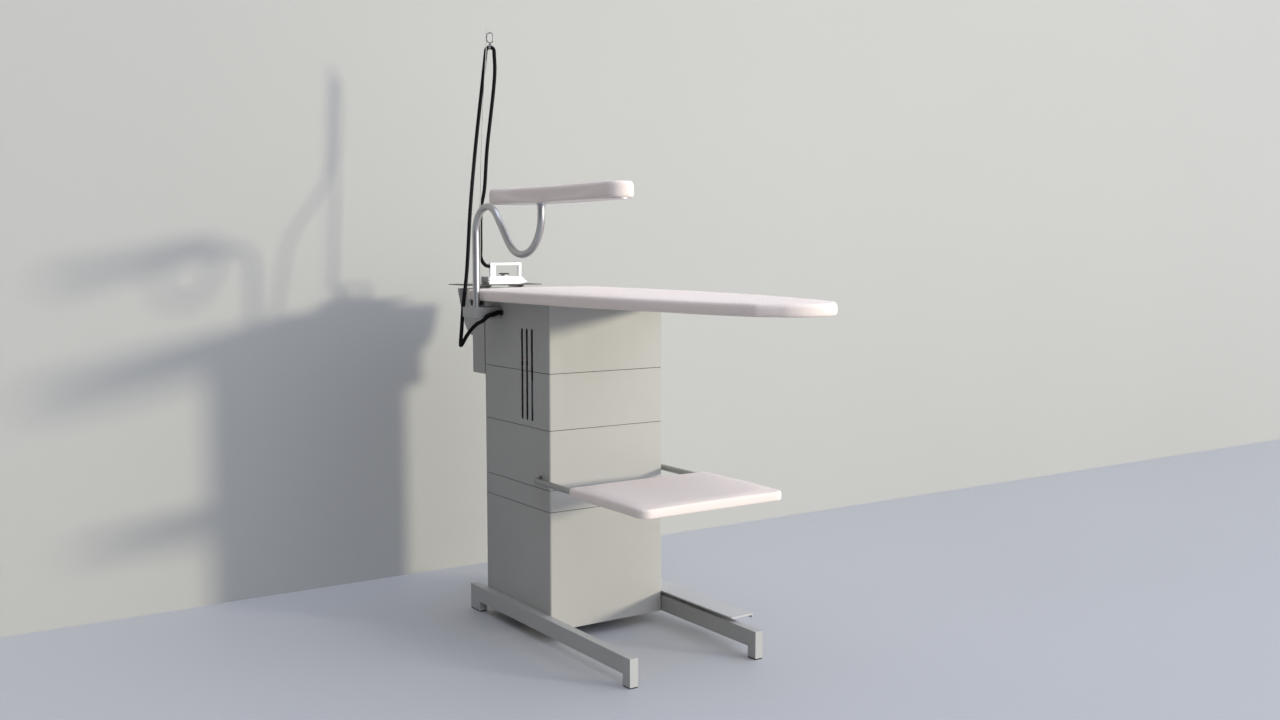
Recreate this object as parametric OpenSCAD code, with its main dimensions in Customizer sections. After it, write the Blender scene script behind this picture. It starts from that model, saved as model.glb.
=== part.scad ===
// Steam and vacuum pressing table with sleeve arm, iron, hose pole, tray and pedal.
// Millimetres.  +Z is up.  The floor is z = 0 and the origin is the centre of the four feet.
// -X is the nose of the board, +X the iron end, -Y the operator, +Y the far side.

/* [Cabinet] */
// Centre of the cabinet along X, from the centre of the feet
cab_x = 182; // [150:1:210]
// Length of the cabinet along X
cab_len = 356; // [330:1:370]
// Width of the cabinet along Y
cab_w = 354; // [340:1:360]
// Height of the underside of the cabinet and of the leg beams
cab_z0 = 29.5; // [25:0.5:35]
// Height of the top of the cabinet
cab_top = 885.8; // [884:0.1:885.8]
// Heights of the seams between the stacked shells
seams = [344.3, 401.7, 557.5, 705.1];
// Open gap at each seam
seam_gap = 1.6; // [0.8:0.1:3]
// Sheet thickness of the shells
sheet = 1.5; // [1:0.1:2]
// Outer corner radius of the shells
cab_r = 5; // [4:0.5:8]

/* [Legs] */
// Length of each leg beam
leg_len = 821; // [780:1:860]
// Thickness of each leg beam across the table
leg_t = 23.2; // [20:0.2:30]
// Height of the top of the leg beams
leg_top = 72; // [65:1:80]
// Length of the foot at the nose end
foot_front = 30.6; // [26:0.2:50]
// Length of the foot at the iron end
foot_rear = 54; // [40:1:80]
// Distance between the foot holes along X
foot_pitch = 778; // [740:1:790]
// Radius of the foot holes
foot_hole_r = 4; // [3:0.5:5]

/* [Board] */
// Height of the top of the padded board
board_top = 915; // [905:1:920]
// Thickness of the padded board
board_t = 29; // [26:1:32]
// Half of the greatest width of the board
board_half = 232; // [220:1:240]
// X of the widest place of the board
board_wide_x = 100; // [60:5:140]
// Radius of the long curved sides in plan
board_side_r = 3170; // [2800:10:3600]
// Radius of the rounded nose in plan
board_nose_r = 105.5; // [95:0.5:110]
// X of the tip of the nose
board_tip_x = -828; // [-860:1:-800]
// X of the iron end of the board
board_end_x = 430; // [424:1:431]
// Corner radius at the iron end
board_end_r = 70; // [50:1:90]

/* [Tray] */
// Height of the tray frame axis and of its pivots
tray_z = 425; // [423:1:430]
// Height of the top of the tray pad
tray_top = 440; // [438:1:444]
// X of the nose edge of the tray pad
tray_x0 = -476; // [-480:0.5:-460]
// X of the cabinet edge of the tray pad
tray_x1 = -142; // [-170:0.5:-130]
// Half width of the tray pad
tray_half = 213; // [205:0.5:216]
// Radius of the tray frame rod
tray_rod_r = 8; // [6:0.5:8]
// X of the tray pivots on the cabinet sides
tray_pivot_x = 50; // [46:1:60]

/* [Sleeve arm] */
// X of the upright end of the arm tube, its swivel axis
arm_x = 285; // [282:0.5:288]
// Y of the plane of the arm tube
arm_y = 239; // [238:0.5:241]
// Radius of the arm tube
arm_r = 9.35; // [8:0.05:9.35]
// Height of the centre of the upper bend
arm_bend_z = 1066.5; // [1050:0.5:1080]
// Radius of the upper bend
arm_bend_r = 70; // [60:1:75]
// Radius of the lower bend
arm_dip_r = 99; // [90:0.1:101]
// Height of the centre of the lower bend
arm_dip_z = 1110.4; // [1104:0.1:1112]
// X of the riser under the sleeve board
riser_x = -71; // [-80:1:-60]
// Height of the underside of the sleeve board
sleeve_z = 1138.5; // [1136:0.5:1150]
// Thickness of the padded sleeve board
sleeve_t = 37.5; // [30:0.5:42]

/* [Iron] */
// X of the centre line of the iron, which points to the operator
iron_x = 455; // [450:1:470]
// Y of the heel of the iron
iron_heel_y = 124; // [122:0.5:125]
// Length of the soleplate
iron_len = 136; // [130:1:140]
// Width of the soleplate
iron_w = 46; // [44:1:50]
// Height of the rest plate's top, on which the iron stands
rest_top = 923; // [921:0.5:926]

/* [Pole and hose] */
// X of the hose pole at its socket
pole_x = 450; // [448:1:453]
// Y of the hose pole at its socket
pole_y = 143; // [142:1:146]
// Radius of the hose pole
pole_r = 1.2; // [1:0.1:2]
// Height of the hook end of the pole rod
pole_top = 1605; // [1590:1:1640]
// Sideways lean of the pole at its hook end
pole_lean = 28; // [26:1:30]
// Radius of the steam hose
hose_r = 4.8; // [3:0.1:5]

/* [Pedal] */
// Height of the top of the pedal plate
pedal_top = 84.8; // [82:0.2:90]
// X of the nose end of the pedal plate
pedal_x0 = -306.5; // [-320:0.5:-280]
// Length of the pedal plate
pedal_len = 500; // [400:5:560]
// Y of the outer edge of the pedal plate
pedal_y = -249; // [-260:1:-240]

/* [Hidden] */

// Fineness of round things
$fn = 48;
// Overlap that makes two solids of one node fuse, or a cut go right through
eps = 0.2;
// Radial clearance of a running fit
run = 0.05;
// Radial clearance of a bolt hole
loose = 0.2;

x0 = cab_x - cab_len / 2;
x1 = cab_x + cab_len / 2;
half = cab_w / 2;
inner = half - sheet;
painted = [0.78, 0.77, 0.73];
steel = [0.72, 0.73, 0.75];
cloth = [0.90, 0.85, 0.82];
black = [0.08, 0.08, 0.08];

// Leg screws: M8, three a side, and two for the arm bracket
screw_r = 3.95;
screw_head_r = 6.5;
screw_head_h = 5;
leg_screw_z = (cab_z0 + leg_top) / 2;
leg_screw_xs = [x0 + 36, cab_x, x1 - 36];
bracket_screw_xs = [276, 318];
bracket_screw_z = 852;

leg_x0 = -foot_pitch / 2 - foot_front / 2;
leg_x1 = leg_x0 + leg_len;
leg_y = half + leg_t / 2;
pad_h = 3;

board_z0 = board_top - board_t;
duct_x = 110;
duct_r = 38;
stand_x0 = 50;
stand_x1 = 310;
stand_half = 125;
stand_r = 12;
post_top = 864;

bracket_x0 = 266;
bracket_x1 = 332;
bracket_y1 = 257;
bracket_z0 = 837;
bracket_top = 868;
bracket_nose_y = 46;
bracket_nose_h = 4;
bush_r = 13;

gland_x = 255;
gland_z = 853;
gland_r = 7;

control_z = 795;
rocker_x = 115;
rocker_y = -172;
rocker_r = 13;
rocker_w = 13.6;
knob_x = 180;
knob_stem_r = 3;

slot_xs = [145.4, 119.4, 92.3];
slot_w = 11;
slot_z0 = 574;
slot_z1 = 817;

pedal_pin_y = -207;
pedal_pin_z = 66;
pedal_pin_r = 4;
pedal_t = 4;
pedal_lug_xs = [-250, -50, 150];
spring_x = -150;
spring_y = -232;
spring_z0 = 44;
spring_z1 = pedal_top - pedal_t;

// Rounded rectangle from [ax, ay] to [bx, by] with corner radius r
module rrect(ax, ay, bx, by, r) {
    translate([ax + r, ay]) square([bx - ax - 2 * r, by - ay]);
    translate([ax, ay + r]) square([bx - ax, by - ay - 2 * r]);
    for (x = [ax + r, bx - r]) {
        for (y = [ay + r, by - r]) {
            translate([x, y]) circle(r);
        }
    }
}

// Plan of the cabinet, brought in by d all round
module cab_plan(d) {
    rrect(x0 + d, -half + d, x1 - d, half - d, max(cab_r - d, 1));
}

// Cylinder along Y from y = a to y = b
module y_rod(x, z, a, b, r) {
    translate([x, b, z]) rotate([90, 0, 0]) cylinder(h = b - a, r = r);
}

// Cylinder along X from x = a to x = b
module x_rod(y, z, a, b, r) {
    translate([a, y, z]) rotate([0, 90, 0]) cylinder(h = b - a, r = r);
}

// Round rod from point p to point q
module rod(p, q, r) {
    d = q - p;
    len = norm(d);
    translate(p) rotate([0, acos(d.z / len), atan2(d.y, d.x)]) cylinder(h = len, r = r);
}

// Chain of rods through the points, with a ball at each inner point
module chain(points, r) {
    for (i = [0 : len(points) - 2]) {
        rod(points[i], points[i + 1], r);
    }
    for (i = [1 : len(points) - 2]) {
        translate(points[i]) sphere(r * 1.08);
    }
}

// Arc of round tube in the XZ plane about centre c, from angle a over sweep w
module xz_arc(c, bend, a, w, r, bore = 0) {
    translate(c) rotate([90, 0, 0]) rotate([0, 0, a]) rotate_extrude(angle = w, $fn = 96)
        translate([bend, 0]) difference() {
            circle(r, $fn = 32);
            if (bore > 0) circle(bore, $fn = 32);
        }
}

// Screw holes through the cabinet sides for the legs
module leg_screw_holes(r) {
    for (x = leg_screw_xs) {
        y_rod(x, leg_screw_z, -half - 3, half + 3, r);
    }
}

// ---------------------------------------------------------------- legs and base

// Pressed channel with a solid foot at each end
module leg(side) {
    yc = side * leg_y;
    y0 = yc - leg_t / 2;
    wall = 2.5;
    difference() {
        union() {
            translate([leg_x0, y0, cab_z0]) cube([leg_len, leg_t, leg_top - cab_z0]);
            translate([leg_x0, y0, pad_h]) cube([foot_front, leg_t, cab_z0 - pad_h + eps]);
            translate([leg_x1 - foot_rear, y0, pad_h]) cube([foot_rear, leg_t, cab_z0 - pad_h + eps]);
        }
        translate([leg_x0 + foot_front, y0 + wall, cab_z0 - eps])
            cube([leg_len - foot_front - foot_rear, leg_t - 2 * wall, leg_top - cab_z0 - wall + eps]);
        for (x = [-foot_pitch / 2, foot_pitch / 2]) {
            translate([x, yc, -1]) cylinder(h = 26, r = foot_hole_r);
        }
        for (x = leg_screw_xs) {
            y_rod(x, leg_screw_z, side > 0 ? y0 - 1 : yc, side > 0 ? yc : y0 + leg_t + 1, screw_r + run);
        }
    }
}

module operator_leg() {
    color(painted) leg(-1);
}

module far_leg() {
    color(painted) leg(1);
}

// Rubber pads under the four feet
module foot_pads() {
    inset = 1;
    color(black) for (side = [-1, 1]) {
        for (end = [[leg_x0, foot_front, -foot_pitch / 2],
                    [leg_x1 - foot_rear, foot_rear, foot_pitch / 2]]) {
            difference() {
                translate([end[0] + inset, side * leg_y - leg_t / 2 + inset, 0])
                    cube([end[1] - 2 * inset, leg_t - 2 * inset, pad_h]);
                translate([end[2], side * leg_y, -1]) cylinder(h = pad_h + 2, r = foot_hole_r);
            }
        }
    }
}

// Button-head screw along Y with its head inside, toward the middle of the cabinet
module frame_screw(x, z, side, head_y, tip_y) {
    y_rod(x, z, side > 0 ? head_y - screw_head_h : -head_y, side > 0 ? head_y : -head_y + screw_head_h,
        screw_head_r);
    y_rod(x, z, side > 0 ? head_y - eps : -tip_y, side > 0 ? tip_y : -head_y + eps, screw_r);
}

module frame_screws() {
    color(steel) {
        for (side = [-1, 1]) {
            for (x = leg_screw_xs) {
                frame_screw(x, leg_screw_z, side, half - 4, half + 11);
            }
        }
        for (x = bracket_screw_xs) {
            frame_screw(x, bracket_screw_z, 1, inner - 0.1, half + 17);
        }
    }
}

// Shallow tray that closes the bottom of the cabinet
module base_pan() {
    rim = 58;
    floor_z = 31;
    t = 2;
    gap = 0.3;
    color([0.6, 0.6, 0.6]) difference() {
        translate([0, 0, floor_z]) linear_extrude(rim - floor_z) cab_plan(sheet + gap);
        translate([0, 0, floor_z + t]) linear_extrude(rim) cab_plan(sheet + gap + t);
        leg_screw_holes(screw_r + loose);
    }
}

// Welded frame: four corner posts and a ring behind each seam
module inner_frame() {
    ring_t = 1.2;
    ring_h = 20;
    post = 25;
    post_t = 2;
    post_z0 = 58.5;
    inset = sheet + 0.1;
    post_in = inset + 1;
    color([0.2, 0.2, 0.22]) difference() {
        union() {
            for (z = [seams[0], seams[1], seams[2], seams[3], 822]) {
                translate([0, 0, z - ring_h / 2]) linear_extrude(ring_h) difference() {
                    cab_plan(inset);
                    cab_plan(inset + ring_t);
                }
            }
            for (sx = [-1, 1]) {
                for (sy = [-1, 1]) {
                    translate([cab_x + sx * (cab_len / 2 - post_in), sy * (half - post_in), post_z0])
                        corner_post(-sx, -sy, post, post_t, post_top - post_z0);
                }
            }
        }
        translate([min(slot_xs) - slot_w, half - 6, slot_z0])
            cube([max(slot_xs) - min(slot_xs) + 2 * slot_w, 9, slot_z1 - slot_z0]);
    }
}

// Angle bar whose outer corner is at the origin
module corner_post(dx, dy, w, t, h) {
    mirror([dx < 0 ? 1 : 0, 0, 0]) mirror([0, dy < 0 ? 1 : 0, 0]) {
        cube([w, t, h]);
        cube([t, w, h]);
    }
}

// ---------------------------------------------------------------- cabinet shells

module shell_ring(za, zb) {
    translate([0, 0, za]) linear_extrude(zb - za) difference() {
        cab_plan(0);
        cab_plan(sheet);
    }
}

// Three tall slots in the far side, across the highest seam
module vent_slots() {
    r = slot_w / 2;
    for (x = slot_xs) {
        y_rod(x, slot_z0 + slot_w / 2, half - 6, half + 3, r);
        y_rod(x, slot_z1 - slot_w / 2, half - 6, half + 3, r);
        translate([x - r, half - 6, slot_z0 + slot_w / 2])
            cube([2 * r, 9, slot_z1 - slot_z0 - slot_w]);
    }
}

module lower_shell() {
    color(painted) difference() {
        shell_ring(cab_z0, seams[0] - seam_gap / 2);
        leg_screw_holes(screw_r + loose);
    }
}

module lower_band() {
    color(painted) shell_ring(seams[0] + seam_gap / 2, seams[1] - seam_gap / 2);
}

// Carries the tray pivots
module middle_shell() {
    color(painted) difference() {
        shell_ring(seams[1] + seam_gap / 2, seams[2] - seam_gap / 2);
        y_rod(tray_pivot_x, tray_z, -half - 1, half + 1, tray_rod_r + 2);
    }
}

module upper_shell() {
    color(painted) difference() {
        shell_ring(seams[2] + seam_gap / 2, seams[3] - seam_gap / 2);
        vent_slots();
    }
}

// Top section with an open roof, control cut-outs, hose gland hole and bracket holes
module top_shell() {
    za = seams[3] + seam_gap / 2;
    color(painted) difference() {
        translate([0, 0, za]) linear_extrude(cab_top - za) cab_plan(0);
        translate([0, 0, za - 1]) linear_extrude(cab_top - sheet - za + 1) cab_plan(sheet);
        vent_slots();
        translate([0, 0, cab_top - 5]) linear_extrude(10)
            rrect(stand_x0 - 1, -stand_half - 1, stand_x1 + 1, stand_half + 1, stand_r);
        y_rod(gland_x, gland_z, half - 5, half + 5, gland_r);
        for (x = bracket_screw_xs) {
            y_rod(x, bracket_screw_z, half - 5, half + 5, screw_r + loose);
        }
        translate([rocker_x - 7.4, -half - 5, control_z - 12.8]) cube([14.8, 10, 25.6]);
        y_rod(knob_x, control_z, -half - 5, -half + 5, 5);
    }
}

// Open-topped bucket behind the cabinet, with a rounded lower rear corner
module rear_housing() {
    y_in = half - sheet;
    color(painted) difference() {
        union() {
            rotate([90, 0, 0]) translate([0, 0, -half]) linear_extrude(2 * half) housing_outline();
            for (side = [-1, 1]) {
                housing_lip(side);
            }
        }
        rotate([90, 0, 0]) translate([0, 0, -y_in]) linear_extrude(2 * y_in) housing_inside();
    }
}

house_x0 = x1 + 1;
house_x1 = 494;
house_z0 = 677;
house_knee_x = 433;
house_r = 70;
house_bend_z = 850;
house_top = 913;
house_shelf = 866;

// Side view of the housing, X across and Z up
module housing_outline() {
    translate([house_x0, house_z0]) square([house_knee_x - house_x0, house_shelf - house_z0]);
    translate([house_x1 - house_r, house_bend_z]) intersection() {
        circle(house_r, $fn = 96);
        translate([-20, -house_r]) square([house_r + 20, house_r + 10]);
    }
    translate([house_knee_x - 20, house_bend_z])
        square([house_x1 - house_knee_x + 20, house_shelf - house_bend_z]);
    polygon([[440, house_shelf - 5], [house_x1, house_shelf - 5], [house_x1, house_top],
        [462, house_top], [444, house_shelf]]);
}

module housing_inside() {
    high = house_top + 10;
    translate([house_x0 - 1, house_z0 + sheet])
        square([house_knee_x - sheet - house_x0 + 1, high - house_z0]);
    translate([house_x1 - house_r, house_bend_z]) circle(house_r - sheet, $fn = 96);
    translate([house_x0, house_bend_z]) square([house_x1 - sheet - house_x0, high - house_bend_z]);
}

// Tapered flange that carries the rear wall on past the side
module housing_lip(side) {
    lip = 16;
    translate([house_x1, 0, 0]) rotate([0, -90, 0]) linear_extrude(sheet)
        polygon([[827, side * (half - eps)], [house_top, side * (half + lip)],
            [house_top, side * (half - eps)]]);
}

// Plate on the corner posts with a box frame that rises through the roof to the board pan
module board_stand() {
    wall = 3;
    plate_z = post_top + 0.1;
    color([0.25, 0.25, 0.27]) {
        translate([0, 0, plate_z]) linear_extrude(wall) difference() {
            cab_plan(sheet + 0.5);
            rrect(stand_x0 + wall, -stand_half + wall, stand_x1 - wall, stand_half - wall, stand_r - wall);
        }
        translate([0, 0, plate_z]) linear_extrude(board_z0 + 0.3 - plate_z) difference() {
            rrect(stand_x0, -stand_half, stand_x1, stand_half, stand_r);
            rrect(stand_x0 + wall, -stand_half + wall, stand_x1 - wall, stand_half - wall, stand_r - wall);
        }
    }
}

// ---------------------------------------------------------------- controls

module control_plate() {
    t = 2;
    color([0.2, 0.2, 0.2]) difference() {
        translate([0, -half - 0.05, 0]) rotate([90, 0, 0]) linear_extrude(t)
            rrect(88, control_z - 30, 212, control_z + 30, 6);
        translate([rocker_x - 7.2, -half - 5, control_z - 12.6]) cube([14.4, 10, 25.2]);
        y_rod(knob_x, control_z, -half - 5, -half + 5, knob_stem_r + run);
    }
}

// Rocker with a hollowed face, held tipped toward "off"
module mains_switch() {
    tip = -10;
    half_h = 12.4;
    color([0.7, 0.1, 0.1]) translate([rocker_x, rocker_y, control_z]) rotate([tip, 0, 0])
        intersection() {
            x_rod(0, 0, -rocker_w / 2, rocker_w / 2, rocker_r - 1);
            rotate([90, 0, 90]) translate([0, 0, -rocker_w / 2]) linear_extrude(rocker_w)
                polygon([[4, -half_h], [4, half_h], [-12, half_h], [-9.5, 0], [-12, -half_h]]);
        }
}

module heat_knob() {
    face = -half - 2.05;
    color(black) {
        y_rod(knob_x, control_z, face - 15, face - 0.3, 17);
        y_rod(knob_x, control_z, face - 1, face + 12, knob_stem_r);
        translate([knob_x - 2, face - 17, control_z - 14]) cube([4, 3, 28]);
    }
}

// ---------------------------------------------------------------- inside the cabinet

blower_z = 108.2;
blower_h = 74;
blower_r = 88;

module blower_housing() {
    t = 2;
    color([0.5, 0.5, 0.52]) difference() {
        translate([duct_x, 0, blower_z]) cylinder(h = blower_h, r = blower_r);
        translate([duct_x, 0, blower_z + t]) cylinder(h = blower_h - 2 * t, r = blower_r - t);
        translate([duct_x, 0, blower_z - 1]) cylinder(h = 10, r = 12);
        translate([duct_x, 0, blower_z + blower_h - 10]) cylinder(h = 20, r = duct_r - 2);
        translate([duct_x - blower_r - 5, -25, blower_z + 15]) cube([40, 50, 40]);
    }
}

// Backward fan wheel on its own shaft
module impeller() {
    z0 = blower_z + 10;
    blades = 12;
    color(steel) translate([duct_x, 0, 0]) {
        translate([0, 0, z0]) cylinder(h = 3, r = 70);
        translate([0, 0, z0]) cylinder(h = 24, r = 10);
        translate([0, 0, 84]) cylinder(h = z0 + 1 - 84, r = 4);
        for (i = [0 : blades - 1]) {
            rotate([0, 0, i * 360 / blades]) translate([30, -1, z0 + 2]) rotate([0, 0, 20])
                cube([38, 2, 34]);
        }
    }
}

module blower_motor() {
    color([0.3, 0.32, 0.35]) translate([duct_x, 0, 0]) difference() {
        union() {
            translate([0, 0, 33.2]) cylinder(h = 8, r = 58);
            translate([0, 0, 40]) cylinder(h = 62, r = 48);
            translate([0, 0, 101]) cylinder(h = 7, r = 20);
        }
        translate([0, 0, 80]) cylinder(h = 40, r = 4 + run);
    }
}

module suction_duct() {
    z0 = blower_z + blower_h + 0.1;
    color([0.45, 0.45, 0.47]) translate([duct_x, 0, z0]) difference() {
        cylinder(h = board_z0 + 0.3 - z0, r = duct_r);
        translate([0, 0, -1]) cylinder(h = 800, r = duct_r - 2);
    }
}

module boiler_shelf() {
    color([0.55, 0.55, 0.57]) translate([165, -148, 400]) cube([x1 - sheet - 1.5 - 165, 296, 2]);
}

boiler_y = 70;
boiler_z1 = 690;

module boiler() {
    r = 62;
    dome = 22;
    wall = 3;
    z0 = 412;
    color([0.75, 0.74, 0.72]) translate([gland_x, boiler_y, 0]) difference() {
        union() {
            boiler_round(r, dome, z0, boiler_z1);
            for (a = [30, 150, 270]) {
                rotate([0, 0, a]) translate([r - 2 * dome, 0, 402.1]) cylinder(h = 11, r = 5);
            }
        }
        boiler_round(r - wall, dome - wall / 2, z0 + wall, boiler_z1 - wall);
        translate([0, 0, boiler_z1 - 10]) cylinder(h = 20, r = 4);
    }
}

// Upright drum with bevelled ends
module boiler_round(r, dome, za, zb) {
    rotate_extrude() polygon([[0, za], [r - dome, za], [r, za + dome], [r, zb - dome],
        [r - dome, zb], [0, zb]]);
}

module water_tank() {
    wall = 3;
    color([0.85, 0.88, 0.9]) difference() {
        union() {
            translate([0, 0, 60]) linear_extrude(260) rrect(215, -140, 350, 140, 14);
            translate([282, -90, 319]) cylinder(h = 18, r = 24);
        }
        translate([0, 0, 60 + wall]) linear_extrude(260 - 2 * wall)
            rrect(215 + wall, -140 + wall, 350 - wall, 140 - wall, 11);
        translate([282, -90, 300]) cylinder(h = 60, r = 20);
    }
}

module feed_pump() {
    color([0.35, 0.3, 0.28]) {
        translate([225, -118, 402.1]) cube([90, 56, 8]);
        x_rod(-90, 438, 222, 318, 28);
        x_rod(-90, 438, 317, 335, 14);
    }
}

module steam_valve() {
    color([0.75, 0.62, 0.3]) {
        translate([gland_x - 18, boiler_y - 18, boiler_z1 + 12]) cube([36, 36, 40]);
        translate([gland_x, boiler_y, boiler_z1 + 0.1]) cylinder(h = 14, r = 7);
        y_rod(gland_x, boiler_z1 + 32, boiler_y - 60, boiler_y - 17, 15);
    }
}

// Copper pipe from the valve up to the gland in the far side
module steam_pipe() {
    bend = 15;
    r = 4;
    z0 = boiler_z1 + 32;
    y0 = boiler_y + 18.1;
    yv = 148;
    color([0.72, 0.45, 0.25]) {
        y_rod(gland_x, z0, y0, yv - bend + eps, r);
        translate([gland_x, yv - bend, z0 + bend]) rotate([90, 0, 90]) rotate([0, 0, -90])
            rotate_extrude(angle = 90) translate([bend, 0]) circle(r, $fn = 24);
        translate([gland_x, yv, z0 + bend - eps]) cylinder(h = gland_z - z0 - 2 * bend + 2 * eps, r = r);
        translate([gland_x, yv + bend, gland_z - bend]) rotate([90, 0, 90]) rotate([0, 0, 90])
            rotate_extrude(angle = 90) translate([bend, 0]) circle(r, $fn = 24);
        y_rod(gland_x, gland_z, yv + bend - eps, inner - 9, r);
    }
}

// ---------------------------------------------------------------- pressing board

// Plan of the board: two long arcs, a round nose and rounded corners at the iron end
module board_plan(d) {
    side_r = board_side_r - d;
    side_y = board_side_r - board_half;
    nose_r = board_nose_r - d;
    nose_x = board_tip_x + board_nose_r;
    reach = norm([board_wide_x - nose_x, side_y]);
    join_x = nose_x - nose_r * (board_wide_x - nose_x) / reach;
    end_x = board_end_x - d;
    corner_x = board_end_x - board_end_r;
    corner_y = sqrt(pow(board_side_r, 2) - pow(corner_x - board_wide_x, 2)) - side_y - board_end_r;
    translate([nose_x, 0]) circle(nose_r, $fn = 96);
    intersection() {
        translate([board_wide_x, -side_y]) circle(side_r, $fn = 900);
        translate([board_wide_x, side_y]) circle(side_r, $fn = 900);
        union() {
            translate([join_x, -300]) square([corner_x - join_x, 600]);
            translate([join_x, -corner_y]) square([end_x - join_x, 2 * corner_y]);
            for (s = [-1, 1]) {
                translate([corner_x, s * corner_y]) circle(board_end_r - d, $fn = 64);
            }
        }
    }
}

module board_pan() {
    t = 1.2;
    color([0.6, 0.6, 0.62]) difference() {
        translate([0, 0, board_z0 + 0.6]) linear_extrude(13) board_plan(15);
        translate([0, 0, board_z0 + 0.6 + t]) linear_extrude(20) board_plan(15 + t);
        translate([duct_x, 0, board_z0 - 5]) cylinder(h = 20, r = duct_r - 2);
    }
}

module board_mesh() {
    pitch = 70;
    hole_r = 4;
    color(steel) difference() {
        translate([0, 0, board_z0 + 13.8]) linear_extrude(1.5) board_plan(15);
        for (x = [-735 : pitch : 385]) {
            for (y = [-1, 0, 1] * pitch * (x < -600 ? 0.7 : 1.4)) {
                translate([x, y, board_z0]) cylinder(h = 30, r = hole_r, $fn = 24);
            }
        }
    }
}

// Hairpin heating rod in the pan
module board_heater() {
    r = 3.5;
    y = 55;
    z = board_z0 + 6;
    xa = -690;
    color([0.35, 0.3, 0.28]) {
        for (s = [-1, 1]) {
            x_rod(s * y, z, xa, 380, r);
        }
        translate([xa, 0, z]) rotate([0, 0, 90]) rotate_extrude(angle = 180)
            translate([y, 0]) circle(r, $fn = 24);
    }
}

// Padding and cover, with rounded edges built in steps
module board_pad() {
    steps = [[0, 6, 23], [3, 3, 26], [8, 1, 28], [13, 0, 29]];
    color(cloth) difference() {
        union() {
            for (s = steps) {
                translate([0, 0, board_z0 + s[1]]) linear_extrude(s[2] - s[1]) board_plan(s[0]);
            }
        }
        translate([0, 0, board_z0 - 1]) linear_extrude(17) board_plan(14.4);
    }
}

// ---------------------------------------------------------------- iron rest and iron

rest_x0 = 432;
rest_x1 = 572;
rest_y0 = -52;
rest_y1 = 186;
rest_t = 2;

module iron_rest() {
    color(black) translate([0, 0, rest_top - rest_t]) difference() {
        linear_extrude(rest_t) rrect(rest_x0, rest_y0, rest_x1, rest_y1, 8);
        translate([pole_x, pole_y, -1]) cylinder(h = rest_t + 2, r = pole_r + 0.5);
    }
}

// Two narrow blades that carry the rest plate on the rear housing
module rest_brackets() {
    w = 6;
    z = house_top + 0.1;
    color(painted) for (y = [-6, 100]) {
        translate([house_x1 - 30, y, z]) cube([84, w, rest_top - rest_t - z - 0.1]);
        translate([house_x1 + 0.1, y, z - 30]) cube([3, w, 31]);
    }
}

// Pointed plan of the iron, heel at y = 0 and tip toward -Y, brought in by d
module iron_plan(d) {
    w = iron_w / 2;
    straight = iron_len - 2 * w;
    nose = iron_len - straight;
    r = (nose * nose + w * w) / (2 * w);
    translate([-w + d, -straight]) square([2 * (w - d), straight - d]);
    intersection() {
        translate([r - w, -straight]) circle(r - d, $fn = 96);
        translate([w - r, -straight]) circle(r - d, $fn = 96);
        translate([-w, -iron_len]) square([2 * w, nose + eps]);
    }
}

// Distances from the heel, toward the tip, and height of the hose fitting over the rest
dial_y = -61;
key_y = -97;
grip_rear = -14;
grip_front = -115;
entry_z = 52;

// Moves a piece of the iron to its place, z above the rest
module iron_at(z) {
    translate([iron_x, iron_heel_y, rest_top + z]) children();
}

module iron_soleplate() {
    color(steel) iron_at(0.1) linear_extrude(4.4) iron_plan(0);
}

module iron_body() {
    color([0.95, 0.95, 0.95]) {
        iron_at(4.6) linear_extrude(7) iron_plan(0.5);
        iron_at(11.5) linear_extrude(9) iron_plan(5);
        iron_at(20.4) linear_extrude(2.8) iron_plan(7);
        iron_at(22) translate([0, dial_y, 0]) cylinder(h = 6.4, r = 8);
    }
}

// Two pillars and a grip bar in one moulding
module iron_handle() {
    z0 = 23.3;
    top = 62;
    color([0.95, 0.95, 0.95]) difference() {
        union() {
            iron_at(z0) translate([-5, grip_rear - 18, 0]) cube([10, 18, top - z0]);
            iron_at(z0) translate([-5, grip_front, 0]) cube([10, 9, top - z0]);
            iron_at(top - 8) translate([-5, grip_front, 0]) cube([10, grip_rear - grip_front, 8]);
        }
        iron_at(top - 6) translate([0, key_y, 0]) cylinder(h = 10, r = 4 + run);
    }
}

module iron_dial() {
    color(black) iron_at(28.6) translate([0, dial_y, 0]) cylinder(h = 3.6, r = 15);
}

module iron_button() {
    color([0.8, 0.15, 0.1]) iron_at(60.6) translate([0, key_y, 0]) cylinder(h = 4.6, r = 4);
}

// Cap that closes the heel of the body
module iron_heel_cap() {
    w = iron_w - 3;
    color([0.4, 0.41, 0.4]) iron_at(4.8) translate([-w / 2, 0.1, 0]) cube([w, 2.4, 18.2]);
}

// ---------------------------------------------------------------- sleeve arm

module arm_bracket() {
    color(painted) difference() {
        translate([bracket_x0, half + 0.05, bracket_z0]) rotate([90, 0, 90])
            linear_extrude(bracket_x1 - bracket_x0) polygon([[0, 0], [bracket_nose_y, 0],
                [bracket_y1 - half, bracket_nose_h], [bracket_y1 - half, bracket_top - bracket_z0],
                [0, bracket_top - bracket_z0]]);
        translate([arm_x, arm_y, bracket_z0 - 1]) cylinder(h = 50, r = bush_r);
        for (x = bracket_screw_xs) {
            y_rod(x, bracket_screw_z, half - 1, half + 18, screw_r + run);
        }
    }
}

// Flanged bush in which the arm tube turns
module arm_bush() {
    color(steel) translate([arm_x, arm_y, 0]) difference() {
        union() {
            translate([0, 0, bracket_z0 + 5]) cylinder(h = bracket_top - bracket_z0 - 4, r = bush_r - 0.02);
            translate([0, 0, bracket_top + 0.1]) cylinder(h = 1.5, r = bush_r + 0.6);
        }
        translate([0, 0, bracket_z0 - 1]) cylinder(h = 60, r = arm_r + run);
    }
}

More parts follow.
